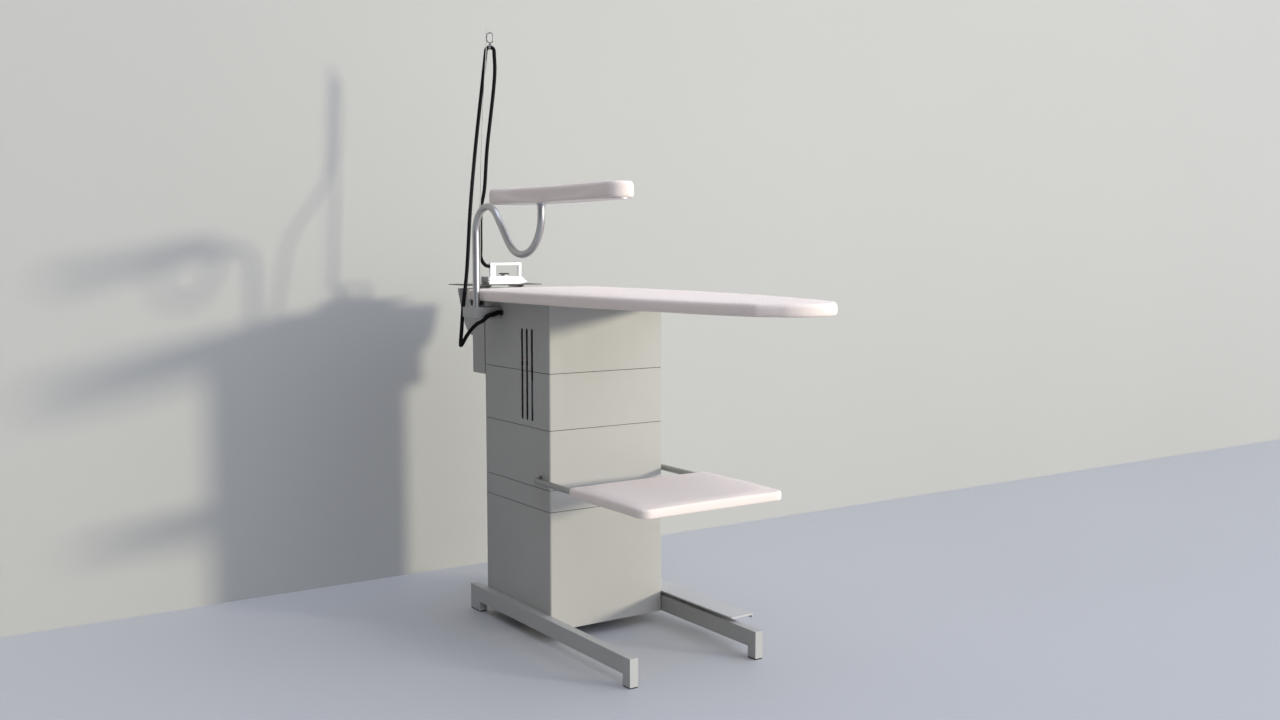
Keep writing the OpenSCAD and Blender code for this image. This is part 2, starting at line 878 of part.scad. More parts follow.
// Bent tube: upright, over the upper bend, down a slant, round the lower bend, up the riser
module arm_tube() {
    wall = 1.5;
    bore = arm_r - wall;
    c1 = [arm_x - arm_bend_r, arm_y, arm_bend_z];
    c2 = [riser_x + arm_dip_r, arm_y, arm_dip_z];
    gap = norm(c2 - c1);
    lean = atan2(c2.z - c1.z, c1.x - c2.x);
    cross = asin((arm_bend_r + arm_dip_r) / gap);
    head = 180 - lean + cross;
    a1 = head - 90;
    a2 = head + 90;
    p = c1 + arm_bend_r * [cos(a1), 0, sin(a1)];
    q = c2 + arm_dip_r * [cos(a2), 0, sin(a2)];
    lap = 0.5;
    swell = 0.04;
    color(steel) {
        translate([arm_x, arm_y, bracket_z0 + 2]) ring(arm_bend_z - bracket_z0 - 2 + lap, arm_r, bore);
        xz_arc(c1, arm_bend_r, 0, a1, arm_r + swell, bore - swell);
        translate(p) rotate([0, 90 - head, 0]) translate([0, 0, -lap])
            ring(norm(q - p) + 2 * lap, arm_r, bore);
        xz_arc(c2, arm_dip_r, 180, a2 - 180, arm_r + swell, bore - swell);
        translate([riser_x, arm_y, arm_dip_z - lap]) ring(sleeve_z + 7 - arm_dip_z + lap, arm_r, bore);
    }
}

// Straight tube along +Z from the origin
module ring(h, r, bore) {
    difference() {
        cylinder(h = h, r = r, $fn = 32);
        translate([0, 0, -1]) cylinder(h = h + 2, r = bore, $fn = 32);
    }
}

// Stop rings on the tube, over the bush and under the sleeve board
module arm_collars() {
    color(steel) for (c = [[arm_x, bracket_top + 1.7, 3], [riser_x, sleeve_z - 6, 3]]) {
        translate([c[0], arm_y, c[1]]) difference() {
            cylinder(h = c[2], r = 11);
            translate([0, 0, -1]) cylinder(h = c[2] + 2, r = arm_r + 0.01);
        }
    }
}

// X and radius of the two ends of the sleeve board
sleeve_wide = [77.5, 59];
sleeve_nose = [-419, 34.5];

// Plan of the sleeve board: two rounds joined by nearly tangent sides, brought in by d
module sleeve_plan(d) {
    bite = 0.03;
    ra = sleeve_wide[1] - d - bite;
    rb = sleeve_nose[1] - d - bite;
    span = sleeve_wide[0] - sleeve_nose[0];
    s = (ra - rb) / span;
    c = sqrt(1 - s * s);
    translate([0, arm_y]) {
        translate([sleeve_wide[0], 0]) circle(ra + bite, $fn = 64);
        translate([sleeve_nose[0], 0]) circle(rb + bite, $fn = 64);
        polygon([[sleeve_wide[0] - ra * s, ra * c], [sleeve_nose[0] - rb * s, rb * c],
            [sleeve_nose[0] - rb * s, -rb * c], [sleeve_wide[0] - ra * s, -ra * c]]);
    }
}

module sleeve_base() {
    boss_h = 2.5;
    color([0.55, 0.55, 0.57]) difference() {
        union() {
            translate([0, 0, sleeve_z]) linear_extrude(10) sleeve_plan(9);
            translate([riser_x, arm_y, sleeve_z - boss_h + 0.3]) cylinder(h = boss_h + 1, r = 12);
        }
        translate([riser_x, arm_y, sleeve_z - 40]) cylinder(h = 48, r = arm_r + run);
    }
}

module sleeve_pad() {
    t = sleeve_t;
    steps = [[0, 6, t - 7], [3, 3, t - 3], [8, 0, t]];
    color(cloth) difference() {
        union() {
            for (s = steps) {
                translate([0, 0, sleeve_z + s[1]]) linear_extrude(s[2] - s[1]) sleeve_plan(s[0]);
            }
        }
        translate([0, 0, sleeve_z - 1]) linear_extrude(11.6) sleeve_plan(8.5);
    }
}

// ---------------------------------------------------------------- pole and hose

pole_bend_z = 925;
socket_r = 8;
socket_z0 = 866;
socket_z1 = 917.5;
arch_r = 11.7;
arch_z = 1581.4;
arch_c = [453.6, 102.6];
arch_dir = [0.556, 0.831];
hook_y = pole_y - pole_lean;

// Upright tube on a bar from the rear wall of the housing
module pole_socket() {
    bar = [10, 20];
    bar_z = 885;
    floor_t = 2;
    color(black) difference() {
        union() {
            translate([pole_x, pole_y, socket_z0]) cylinder(h = socket_z1 - socket_z0, r = socket_r);
            translate([pole_x, pole_y - bar[0] / 2, bar_z])
                cube([house_x1 - sheet - 0.1 - pole_x, bar[0], bar[1]]);
        }
        translate([pole_x, pole_y, socket_z0 + floor_t]) cylinder(h = 60, r = pole_r + run);
    }
}

// Spring rod, straight in the socket and then bent a little toward the operator
module hose_pole() {
    rise = pole_top - pole_bend_z;
    bend = (rise * rise + pole_lean * pole_lean) / (2 * pole_lean);
    color(steel) {
        translate([pole_x, pole_y, socket_z0 + 3])
            cylinder(h = pole_bend_z - socket_z0 - 3, r = pole_r, $fn = 24);
        translate([pole_x, pole_y - bend, pole_bend_z]) rotate([90, 0, 90])
            rotate_extrude(angle = asin(rise / bend), $fn = 1440) translate([bend, 0])
                circle(pole_r, $fn = 24);
    }
}

// Tip, wire eye and hose clip
module hose_hook() {
    wire = 1.8;
    eye_r = 8;
    z0 = pole_top + 6;
    eye = [pole_x, hook_y, 0] - 10.4 * [arch_dir[0], arch_dir[1], 0];
    turn = atan2(arch_dir[1], arch_dir[0]);
    clip = [arch_c[0], arch_c[1], arch_z + arch_r];
    color(steel) {
        translate([pole_x, hook_y, pole_top + 0.5]) cylinder(h = 33, r = pole_r, $fn = 24);
        translate([eye.x, eye.y, z0]) rotate([0, 0, turn]) {
            xz_arc([0, 0, 0], eye_r, 180, 180, wire);
            xz_arc([0, 0, 12], eye_r, 0, 180, wire);
            for (s = [-1, 1]) {
                translate([s * eye_r, 0, 0]) cylinder(h = 12, r = wire, $fn = 24);
            }
        }
        rod([eye.x, eye.y, z0 - eye_r], [clip.x, clip.y, clip.z + hose_r + 2.6], wire);
        translate(clip) rotate([0, 0, turn]) rotate([0, 90, 0]) translate([0, 0, -3]) difference() {
            cylinder(h = 6, r = hose_r + 2.8);
            translate([0, 0, -1]) cylinder(h = 8, r = hose_r + 1);
        }
    }
}

// Length of hose that hangs over the clip
module hose_arch() {
    turn = atan2(arch_dir[1], arch_dir[0]);
    color(black) translate([arch_c[0], arch_c[1], 0]) rotate([0, 0, turn])
        xz_arc([0, 0, arch_z], arch_r, 0, 180, hose_r);
}

arch_gap = 1;
arch_far = [arch_c[0] + arch_r * arch_dir[0], arch_c[1] + arch_r * arch_dir[1], arch_z - arch_gap];
arch_near = [arch_c[0] - arch_r * arch_dir[0], arch_c[1] - arch_r * arch_dir[1], arch_z - arch_gap];
relief_tip = [gland_x + 1, half + 38, gland_z - 6];
relief_gap = 5;

// Far run: from the gland down in a loop and up to the pole
module hose_supply() {
    color(black) chain([relief_tip, [258.5, 227, 837.5], [263, 234, 830.5], [277, 242, 823],
        [293, 251, 807], [307, 259, 788], [317, 264, 772], [327, 266, 763.5], [335, 263, 773],
        [342, 256, 810], [356, 245, 858], [368, 226, 960], [390, 202, 1133], [470, 144, 1304],
        [462, 120.5, 1512], arch_far], hose_r);
}

// Near run: from the pole down to the heel of the iron
module hose_drop() {
    entry = [iron_x, iron_heel_y + grip_rear + 3, rest_top + entry_z];
    color(black) chain([arch_near, [448, 91, 1520], [460, 112, 1304], [466, 119, 1190],
        [470, 127, 1143], [470, 130, 1022], [467, 132, 1003], [461, 129, 988], [456.5, 122, 978],
        entry], hose_r);
}

// Gland in the wall with a drooping rubber sleeve
module strain_relief() {
    tip = relief_tip;
    color(black) {
        y_rod(gland_x, gland_z, inner - 8, half + 3, gland_r - 0.05);
        y_rod(gland_x, gland_z, half + 0.1, half + 4, 8);
        rod([gland_x, half + 3, gland_z], tip - [0, relief_gap, 0], 6.5);
    }
}

// ---------------------------------------------------------------- tray

frame_y = 195.5;
frame_bend = frame_y - half - 0.5;
frame_corner = 25;
frame_front = tray_x0 + 12.5;

// U-shaped rod whose two ends turn inward into the cabinet
module tray_rod(r) {
    fx = frame_front + frame_corner;
    x_back = tray_pivot_x - frame_bend;
    for (s = [-1, 1]) {
        x_rod(s * frame_y, tray_z, fx, x_back, r);
        translate([x_back, s * (frame_y - frame_bend), tray_z]) rotate([0, 0, s > 0 ? 0 : -90])
            rotate_extrude(angle = 90) translate([frame_bend, 0]) circle(r, $fn = 32);
        translate([fx, s * (frame_y - frame_corner), tray_z]) rotate([0, 0, s > 0 ? 90 : 180])
            rotate_extrude(angle = 90) translate([frame_corner, 0]) circle(r, $fn = 32);
        y_rod(tray_pivot_x, tray_z, s > 0 ? half - 17 : -frame_y + frame_bend,
            s > 0 ? frame_y - frame_bend : -half + 17, r);
    }
    y_rod(frame_front, tray_z, -frame_y + frame_corner, frame_y - frame_corner, r);
}

module tray_frame() {
    color([0.4, 0.4, 0.38]) tray_rod(tray_rod_r);
}

// Plan of the pad, drawn in by a margin: round corners at the nose, tighter ones at the cabinet
module tray_plan(margin) {
    nose_r = 28 - margin;
    rear_r = 12 - margin;
    hull() for (s = [-1, 1]) {
        translate([tray_x0 + margin + nose_r, s * (tray_half - margin - nose_r)])
            circle(nose_r, $fn = 64);
        translate([tray_x1 - margin - rear_r, s * (tray_half - margin - rear_r)])
            circle(rear_r, $fn = 48);
    }
}

module tray_pad() {
    z0 = tray_z - tray_rod_r - 2;
    t = tray_top - z0;
    color(cloth) difference() {
        union() {
            for (s = [[0, 5, t - 6], [2, 2, t - 2.5], [6, 0, t]]) {
                translate([0, 0, z0 + s[1]]) linear_extrude(s[2] - s[1]) tray_plan(s[0]);
            }
        }
        tray_rod(tray_rod_r + 0.2);
    }
}

// Plastic bushes in the cabinet sides, flanged inside
module tray_bushes() {
    color(black) for (s = [-1, 1]) {
        difference() {
            union() {
                y_rod(tray_pivot_x, tray_z, s > 0 ? half - 16 : -half, s > 0 ? half : -half + 16,
                    tray_rod_r + 1.98);
                y_rod(tray_pivot_x, tray_z, s > 0 ? inner - 4 : -inner + 0.1,
                    s > 0 ? inner - 0.1 : -inner + 4, tray_rod_r + 4.4);
            }
            y_rod(tray_pivot_x, tray_z, -half - 1, half + 1, tray_rod_r + run);
        }
    }
}

// ---------------------------------------------------------------- pedal

module pedal_plate() {
    y_in = -half - 1;
    lug_t = 4;
    color(painted) {
        translate([0, 0, pedal_top - pedal_t]) linear_extrude(pedal_t)
            rrect(pedal_x0, pedal_y, pedal_x0 + pedal_len, y_in, 3);
        translate([pedal_x0 + 3, pedal_y, pedal_top - 12]) cube([pedal_len - 6, 2, 12 - 1]);
        for (x = pedal_lug_xs) {
            difference() {
                union() {
                    translate([x, pedal_pin_y - 7, pedal_pin_z])
                        cube([lug_t, 6, pedal_top - pedal_t - pedal_pin_z + eps]);
                    x_rod(pedal_pin_y, pedal_pin_z, x, x + lug_t, 7 - 0.8);
                }
                x_rod(pedal_pin_y, pedal_pin_z, x - 1, x + lug_t + 1, pedal_pin_r + run);
            }
        }
    }
}

module pedal_pin() {
    color(steel) x_rod(pedal_pin_y, pedal_pin_z, pedal_lug_xs[0] - 12, pedal_lug_xs[2] + 16, pedal_pin_r);
}

// Ears that hold the pin, and the seat of the spring, on the outer face of the leg
module pedal_brackets() {
    y_leg = -half - leg_t - 0.05;
    ear_t = 4;
    color([0.5, 0.5, 0.52]) {
        for (x = pedal_lug_xs) {
            for (e = [x - 1 - ear_t, x + 5]) {
                difference() {
                    union() {
                        translate([e, pedal_pin_y, pedal_pin_z - 6.2])
                            cube([ear_t, y_leg - pedal_pin_y, 12]);
                        x_rod(pedal_pin_y, pedal_pin_z, e, e + ear_t, 6.2);
                    }
                    x_rod(pedal_pin_y, pedal_pin_z, e - 1, e + ear_t + 1, pedal_pin_r + 0.02);
                }
            }
        }
        translate([spring_x - 12, spring_y - 11, spring_z0 - 4]) cube([24, y_leg - spring_y + 11, 3.9]);
        translate([spring_x - 12, y_leg - 3, spring_z0 - 5]) cube([24, 3, 18]);
    }
}

// Compression spring drawn as turns joined by short posts
module pedal_spring() {
    coil = 7;
    wire = 1;
    turns = 7;
    rise = (spring_z1 - spring_z0 - 2 * wire - 0.4) / (turns - 1);
    color(steel) translate([spring_x, spring_y, spring_z0 + wire + 0.2]) for (i = [0 : turns - 1]) {
        translate([0, 0, i * rise]) rotate_extrude() translate([coil, 0]) circle(wire, $fn = 24);
        if (i < turns - 1) {
            rotate([0, 0, i * 150]) translate([coil, 0, i * rise])
                cylinder(h = rise, r = wire * 0.8, $fn = 24);
        }
    }
}

// Micro-switch under the plate, on the outer face of the leg
module pedal_switch() {
    y_leg = -half - leg_t - 0.05;
    depth = 34;
    body_z = [40, 58];
    plunger_top = 77.4;
    color(black) {
        translate([-110, y_leg - depth, body_z[0]]) cube([30, depth, body_z[1] - body_z[0]]);
        translate([-97, y_leg - depth + 6, body_z[1] - 1])
            cylinder(h = plunger_top - body_z[1] + 1, r = 2.5, $fn = 24);
    }
}

operator_leg();
far_leg();
foot_pads();
frame_screws();
base_pan();
inner_frame();
lower_shell();
lower_band();
middle_shell();
upper_shell();
top_shell();
rear_housing();
board_stand();
control_plate();
mains_switch();
heat_knob();
blower_housing();
impeller();
blower_motor();
suction_duct();
boiler_shelf();
boiler();
water_tank();
feed_pump();
steam_valve();
steam_pipe();
board_pan();
board_mesh();
board_heater();
board_pad();
iron_rest();
rest_brackets();
iron_soleplate();
iron_body();
iron_handle();
iron_dial();
iron_button();
iron_heel_cap();
arm_bracket();
arm_bush();
arm_tube();
arm_collars();
sleeve_base();
sleeve_pad();
pole_socket();
hose_pole();
hose_hook();
hose_arch();
hose_supply();
hose_drop();
strain_relief();
tray_frame();
tray_pad();
tray_bushes();
pedal_plate();
pedal_pin();
pedal_brackets();
pedal_spring();
pedal_switch();
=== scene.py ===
"""Looks of the steam pressing table: materials, padded covers, hoses, iron and small parts.

Metres.  +Z is up, -X is the nose of the board, -Y the operator, +Y the sleeve arm side.
"""

import math

import bpy
import bmesh
import numpy as np
from mathutils import Matrix, Vector
from mathutils.geometry import convex_hull_2d


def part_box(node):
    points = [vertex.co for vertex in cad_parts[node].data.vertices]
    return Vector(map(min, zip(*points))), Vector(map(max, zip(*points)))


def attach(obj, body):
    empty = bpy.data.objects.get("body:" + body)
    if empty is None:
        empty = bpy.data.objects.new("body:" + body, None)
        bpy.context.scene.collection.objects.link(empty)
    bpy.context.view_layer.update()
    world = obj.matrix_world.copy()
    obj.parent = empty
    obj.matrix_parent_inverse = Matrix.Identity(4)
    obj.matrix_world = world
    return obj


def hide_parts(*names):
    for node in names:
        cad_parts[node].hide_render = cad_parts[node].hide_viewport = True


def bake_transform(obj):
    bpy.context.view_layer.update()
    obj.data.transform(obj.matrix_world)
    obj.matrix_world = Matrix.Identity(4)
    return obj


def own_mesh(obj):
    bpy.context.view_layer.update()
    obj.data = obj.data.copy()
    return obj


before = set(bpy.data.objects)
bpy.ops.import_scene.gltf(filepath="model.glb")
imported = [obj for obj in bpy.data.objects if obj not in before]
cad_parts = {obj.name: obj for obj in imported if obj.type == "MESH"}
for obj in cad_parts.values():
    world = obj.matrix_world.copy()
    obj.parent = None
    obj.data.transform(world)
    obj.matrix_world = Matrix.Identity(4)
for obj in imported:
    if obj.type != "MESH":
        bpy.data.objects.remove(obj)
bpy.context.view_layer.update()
MM = 0.001


# ---------------------------------------------------------------- small helpers

def centre(node):
    """Middle of a CAD node's box."""
    low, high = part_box(node)
    return (low + high) / 2


def new_object(name, mesh):
    obj = bpy.data.objects.new(name, mesh)
    bpy.context.scene.collection.objects.link(obj)
    return obj


def mesh_object(name, verts, faces):
    """Object with outward normals from plain vertices and faces."""
    mesh = bpy.data.meshes.new(name)
    mesh.from_pydata([tuple(v) for v in verts], [], faces)
    bm = bmesh.new()
    bm.from_mesh(mesh)
    bmesh.ops.recalc_face_normals(bm, faces=bm.faces)
    bm.to_mesh(mesh)
    bm.free()
    return new_object(name, mesh)


def smooth(obj, angle=35.0):
    """Smooth shading, with edges sharper than the angle kept sharp."""
    mesh = obj.data
    mesh.polygons.foreach_set("use_smooth", [True] * len(mesh.polygons))
    mesh.set_sharp_from_angle(angle=math.radians(angle))
    return obj


def finish_piece(obj, material, body, *stands_for):
    """Gives a new piece its material and body, and hides the CAD nodes it stands for."""
    obj.data.materials.clear()
    obj.data.materials.append(material)
    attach(obj, body)
    dress(obj, *stands_for)
    return obj


def dress(obj, *stands_for):
    if stands_for:
        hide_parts(*stands_for)


def apply_modifiers(obj):
    """Replaces the object's mesh with what its modifiers make of it."""
    graph = bpy.context.evaluated_depsgraph_get()
    mesh = bpy.data.meshes.new_from_object(obj.evaluated_get(graph))
    obj.modifiers.clear()
    obj.data = mesh
    return obj


def curve_points(knots, step):
    """Centripetal Catmull-Rom curve through the knots, sampled about every step."""
    p = [Vector(k) for k in knots]
    p = [2 * p[0] - p[1]] + p + [2 * p[-1] - p[-2]]
    out = []
    for i in range(1, len(p) - 2):
        t = [0.0]
        for a, b in zip(p[i - 1:i + 2], p[i:i + 3]):
            t.append(t[-1] + max((b - a).length, 1e-6) ** 0.5)
        count = max(2, int((p[i + 1] - p[i]).length / step))
        for k in range(count):
            s = t[1] + (t[2] - t[1]) * k / count
            a = [((t[j + 1] - s) * p[i - 1 + j] + (s - t[j]) * p[i + j]) / (t[j + 1] - t[j])
                 for j in range(3)]
            b = [((t[j + 2] - s) * a[j] + (s - t[j]) * a[j + 1]) / (t[j + 2] - t[j]) for j in range(2)]
            out.append(((t[2] - s) * b[0] + (s - t[1]) * b[1]) / (t[2] - t[1]))
    out.append(p[-2])
    return out


def bent_path(corners, radii, step_deg=6.0):
    """Straight runs joined by true arcs: one radius for each inner corner."""
    pts = [Vector(c) for c in corners]
    out = [pts[0]]
    for before, corner, after, radius in zip(pts, pts[1:], pts[2:], radii):
        a = (before - corner).normalized()
        b = (after - corner).normalized()
        half = a.angle(b) / 2
        reach = radius / math.tan(half)
        hub = corner + (a + b).normalized() * (radius / math.sin(half))
        start = corner + a * reach - hub
        normal = start.cross(corner + b * reach - hub).normalized()
        sweep = math.pi - 2 * half
        steps = max(2, int(math.degrees(sweep) / step_deg))
        for k in range(steps + 1):
            out.append(hub + Matrix.Rotation(sweep * k / steps, 3, normal) @ start)
    out.append(pts[-1])
    return out


def circle_section(sides):
    return [(math.cos(2 * math.pi * k / sides), math.sin(2 * math.pi * k / sides)) for k in range(sides)]


def sweep(name, path, radius, section=None, closed=False, up=(0.0, 0.0, 1.0)):
    """Solid made by moving a section along a path.  Radius is one number or one for each point."""
    section = section or circle_section(20)
    path = [Vector(p) for p in path]
    count = len(path)
    radii = radius if isinstance(radius, (list, tuple)) else [radius] * count
    tangents = []
    for i in range(count):
        a = path[i - 1] if (i > 0 or closed) else path[0]
        b = path[(i + 1) % count] if (i < count - 1 or closed) else path[-1]
        tangents.append((b - a).normalized())
    side = tangents[0].cross(Vector(up))
    if side.length < 1e-4:
        side = tangents[0].cross(Vector((1.0, 0.0, 0.0)))
    side.normalize()
    verts, faces = [], []
    for i, (p, t) in enumerate(zip(path, tangents)):
        side = (side - t * side.dot(t)).normalized()
        lift = t.cross(side)
        verts += [p + (side * u + lift * v) * radii[i] for u, v in section]
    n = len(section)
    for i in range(count if closed else count - 1):
        j = (i + 1) % count
        for k in range(n):
            m = (k + 1) % n
            faces.append((i * n + k, i * n + m, j * n + m, j * n + k))
    if not closed:
        faces.append(tuple(range(n)))
        faces.append(tuple(range((count - 1) * n, count * n)))
    return mesh_object(name, verts, faces)


def lathe(name, profile, origin, axis, sides=48, flutes=0, depth=0.0, fluted=()):
    """Solid of revolution.  The profile is (radius, height) pairs; some of them can be fluted."""
    turn = Vector((0, 0, 1)).rotation_difference(Vector(axis)).to_matrix()
    origin = Vector(origin)
    verts, faces = [], []
    for i, (r, h) in enumerate(profile):
        for k in range(sides):
            a = 2 * math.pi * k / sides
            cut = depth * (0.5 + 0.5 * math.cos(flutes * a)) if i in fluted else 0.0
            verts.append(origin + turn @ Vector(((r - cut) * math.cos(a), (r - cut) * math.sin(a), h)))
    for i in range(len(profile) - 1):
        for k in range(sides):
            m = (k + 1) % sides
            faces.append((i * sides + k, i * sides + m, (i + 1) * sides + m, (i + 1) * sides + k))
    faces.append(tuple(range(sides)))
    faces.append(tuple(range((len(profile) - 1) * sides, len(profile) * sides)))
    return mesh_object(name, verts, faces)


def loft(name, rings):
    """Closed solid through a stack of rings with equal point counts."""
    n = len(rings[0])
    verts = [v for ring in rings for v in ring]
    faces = []
    for i in range(len(rings) - 1):
        for k in range(n):
            m = (k + 1) % n
            faces.append((i * n + k, i * n + m, (i + 1) * n + m, (i + 1) * n + k))
    faces.append(tuple(range(n)))
    faces.append(tuple(range((len(rings) - 1) * n, len(rings) * n)))
    return mesh_object(name, verts, faces)


def rounded_block(name, low, high, radius, segments=3):
    """Box from low to high with its edges rounded."""
    bm = bmesh.new()
    bmesh.ops.create_cube(bm, size=1.0)
    low, high = Vector(low), Vector(high)
    size, mid = high - low, (high + low) / 2
    for v in bm.verts:
        v.co = Vector((v.co.x * size.x, v.co.y * size.y, v.co.z * size.z)) + mid
    bmesh.ops.bevel(bm, geom=bm.edges[:], offset=radius, segments=segments, profile=0.5, affect="EDGES")
    mesh = bpy.data.meshes.new(name)
    bm.to_mesh(mesh)
    bm.free()
    return new_object(name, mesh)


def join(name, parts):
    """One object out of several, each a closed solid of its own."""
    bm = bmesh.new()
    for part in parts:
        bm.from_mesh(part.data)
        bpy.data.objects.remove(part)
    mesh = bpy.data.meshes.new(name)
    bm.to_mesh(mesh)
    bm.free()
    return new_object(name, mesh)


# ---------------------------------------------------------------- materials

class Shader:
    """Builder for one node material around a Principled BSDF."""

    def __init__(self, name):
        self.material = bpy.data.materials.new(name)
        self.material.use_nodes = True
        self.tree = self.material.node_tree
        self.bsdf = self.tree.nodes["Principled BSDF"]
        self.place = self.node("ShaderNodeTexCoord").outputs["Object"]

    def node(self, kind, **settings):
        made = self.tree.nodes.new(kind)
        for key, value in settings.items():
            setattr(made, key, value)
        return made

    def link(self, source, target):
        self.tree.links.new(source, target)

    def feed(self, socket, value):
        """Links an output, or sets a plain value."""
        if isinstance(value, bpy.types.NodeSocket):
            self.link(value, socket)
        else:
            socket.default_value = value

    def stretch(self, scale):
        """Object coordinates scaled along each axis."""
        mapping = self.node("ShaderNodeMapping")
        self.link(self.place, mapping.inputs["Vector"])
        mapping.inputs["Scale"].default_value = scale
        return mapping.outputs["Vector"]

    def noise(self, scale, detail=3.0, rough=0.5, where=None):
        tex = self.node("ShaderNodeTexNoise")
        self.link(where or self.place, tex.inputs["Vector"])
        tex.inputs["Scale"].default_value = scale
        tex.inputs["Detail"].default_value = detail
        tex.inputs["Roughness"].default_value = rough
        return tex.outputs["Fac"]

    def math(self, operation, a, b=0.0, c=0.0):
        made = self.node("ShaderNodeMath", operation=operation)
        for socket, value in zip(made.inputs, (a, b, c)):
            self.feed(socket, value)
        return made.outputs[0]

    def remap(self, value, low, high, out_low, out_high):
        made = self.node("ShaderNodeMapRange")
        for socket, v in zip(made.inputs, (value, low, high, out_low, out_high)):
            self.feed(socket, v)
        return made.outputs[0]

    def mix(self, factor, a, b, blend="MIX"):
        made = self.node("ShaderNodeMix", data_type="RGBA", blend_type=blend)
        self.feed(made.inputs[0], factor)
        self.feed(made.inputs[6], a if isinstance(a, bpy.types.NodeSocket) else (*a, 1.0))
        self.feed(made.inputs[7], b if isinstance(b, bpy.types.NodeSocket) else (*b, 1.0))
        return made.outputs[2]

    def bump(self, height, strength, distance, normal=None):
        made = self.node("ShaderNodeBump")
        made.inputs["Strength"].default_value = strength
        made.inputs["Distance"].default_value = distance
        self.link(height, made.inputs["Height"])
        if normal is not None:
            self.link(normal, made.inputs["Normal"])
        return made.outputs["Normal"]

    def soft_edge(self, radius):
        made = self.node("ShaderNodeBevel", samples=4)
        made.inputs["Radius"].default_value = radius
        return made.outputs["Normal"]

    def put(self, **inputs):
        for key, value in inputs.items():
            self.feed(self.bsdf.inputs[key.replace("_", " ")], value)
        return self


def tint(colour, factor):
    return tuple(min(c * factor, 1.0) for c in colour)


def paint(name, colour, roughness=0.42, edge=0.9 * MM):
    """Powder-coated sheet: faint clouding, orange peel and rounded edges that catch light."""
    s = Shader(name)
    cloud = s.noise(3.5, 4.0)
    peel = s.noise(420.0, 2.0)
    smear = s.noise(14.0, 5.0, 0.62, s.stretch((1.0, 1.0, 0.35)))
    base = s.mix(s.remap(cloud, 0.3, 0.7, 0.0, 1.0), tint(colour, 0.965), tint(colour, 1.03))
    s.put(Base_Color=base, Roughness=s.remap(smear, 0.3, 0.75, roughness - 0.05, roughness + 0.07))
    s.put(Normal=s.bump(peel, 0.10, 0.15 * MM, s.soft_edge(edge)))
    return s.material


def brushed(name, colour, roughness=0.3, along=(1.0, 1.0, 18.0), edge=0.5 * MM):
    """Metal with fine lines; a larger factor along an axis packs them tighter there."""
    s = Shader(name)
    lines = s.noise(160.0, 4.0, 0.6, s.stretch(along))
    haze = s.noise(22.0, 3.0)
    s.put(Base_Color=s.mix(lines, tint(colour, 0.9), tint(colour, 1.06)), Metallic=1.0)
    s.put(Roughness=s.remap(s.math("ADD", lines, haze), 0.6, 1.4, roughness - 0.06, roughness + 0.1))
    s.put(Normal=s.bump(lines, 0.12, 0.08 * MM, s.soft_edge(edge)))
    return s.material


def satin(name, colour, roughness):
    """Smooth nickel plate: an even surface with a faint change of gloss."""
    s = Shader(name)
    haze = s.noise(12.0, 3.0)
    s.put(Base_Color=s.mix(haze, tint(colour, 0.96), tint(colour, 1.03)), Metallic=1.0)
    s.put(Roughness=s.remap(haze, 0.3, 0.7, roughness - 0.02, roughness + 0.05))
    return s.material


def galvanised(name, colour):
    """Zinc-coated sheet with crystal spangle."""
    s = Shader(name)
    cells = s.node("ShaderNodeTexVoronoi", feature="F1")
    s.link(s.place, cells.inputs["Vector"])
    cells.inputs["Scale"].default_value = 70.0
    grey = s.node("ShaderNodeRGBToBW")
    s.link(cells.outputs["Color"], grey.inputs[0])
    s.put(Base_Color=s.mix(grey.outputs[0], tint(colour, 0.82), tint(colour, 1.1)), Metallic=0.9)
    s.put(Roughness=s.remap(grey.outputs[0], 0.0, 1.0, 0.38, 0.6))
    s.put(Normal=s.bump(cells.outputs["Distance"], 0.08, 0.2 * MM, s.soft_edge(0.6 * MM)))
    return s.material


def plastic(name, colour, roughness=0.45, grain=0.2, coat=0.0, edge=0.6 * MM):
    """Moulded plastic: fine grain, faint flow marks, and a clear skin if it is glossy."""
    s = Shader(name)
    grit = s.noise(1500.0, 2.0)
    flow = s.noise(20.0, 3.0)
    s.put(Base_Color=s.mix(flow, tint(colour, 0.93), tint(colour, 1.05)))
    s.put(Roughness=s.remap(flow, 0.3, 0.7, roughness - 0.04, roughness + 0.06), Coat_Weight=coat)
    s.put(Normal=s.bump(grit, grain, 0.12 * MM, s.soft_edge(edge)), Coat_Roughness=0.06)
    return s.material


def rubber(name, colour=(0.003, 0.003, 0.0033)):
    """Dull black rubber with a trace of dust in patches."""
    s = Shader(name)
    dust = s.noise(28.0, 6.0, 0.7)
    s.put(Base_Color=s.mix(s.remap(dust, 0.5, 0.8, 0.0, 0.3), colour, (0.008, 0.008, 0.008)))
    s.put(Roughness=s.remap(dust, 0.3, 0.7, 0.5, 0.66), Specular_IOR_Level=0.12)
    s.put(Normal=s.bump(s.noise(900.0, 2.0), 0.2, 0.1 * MM))
    return s.material


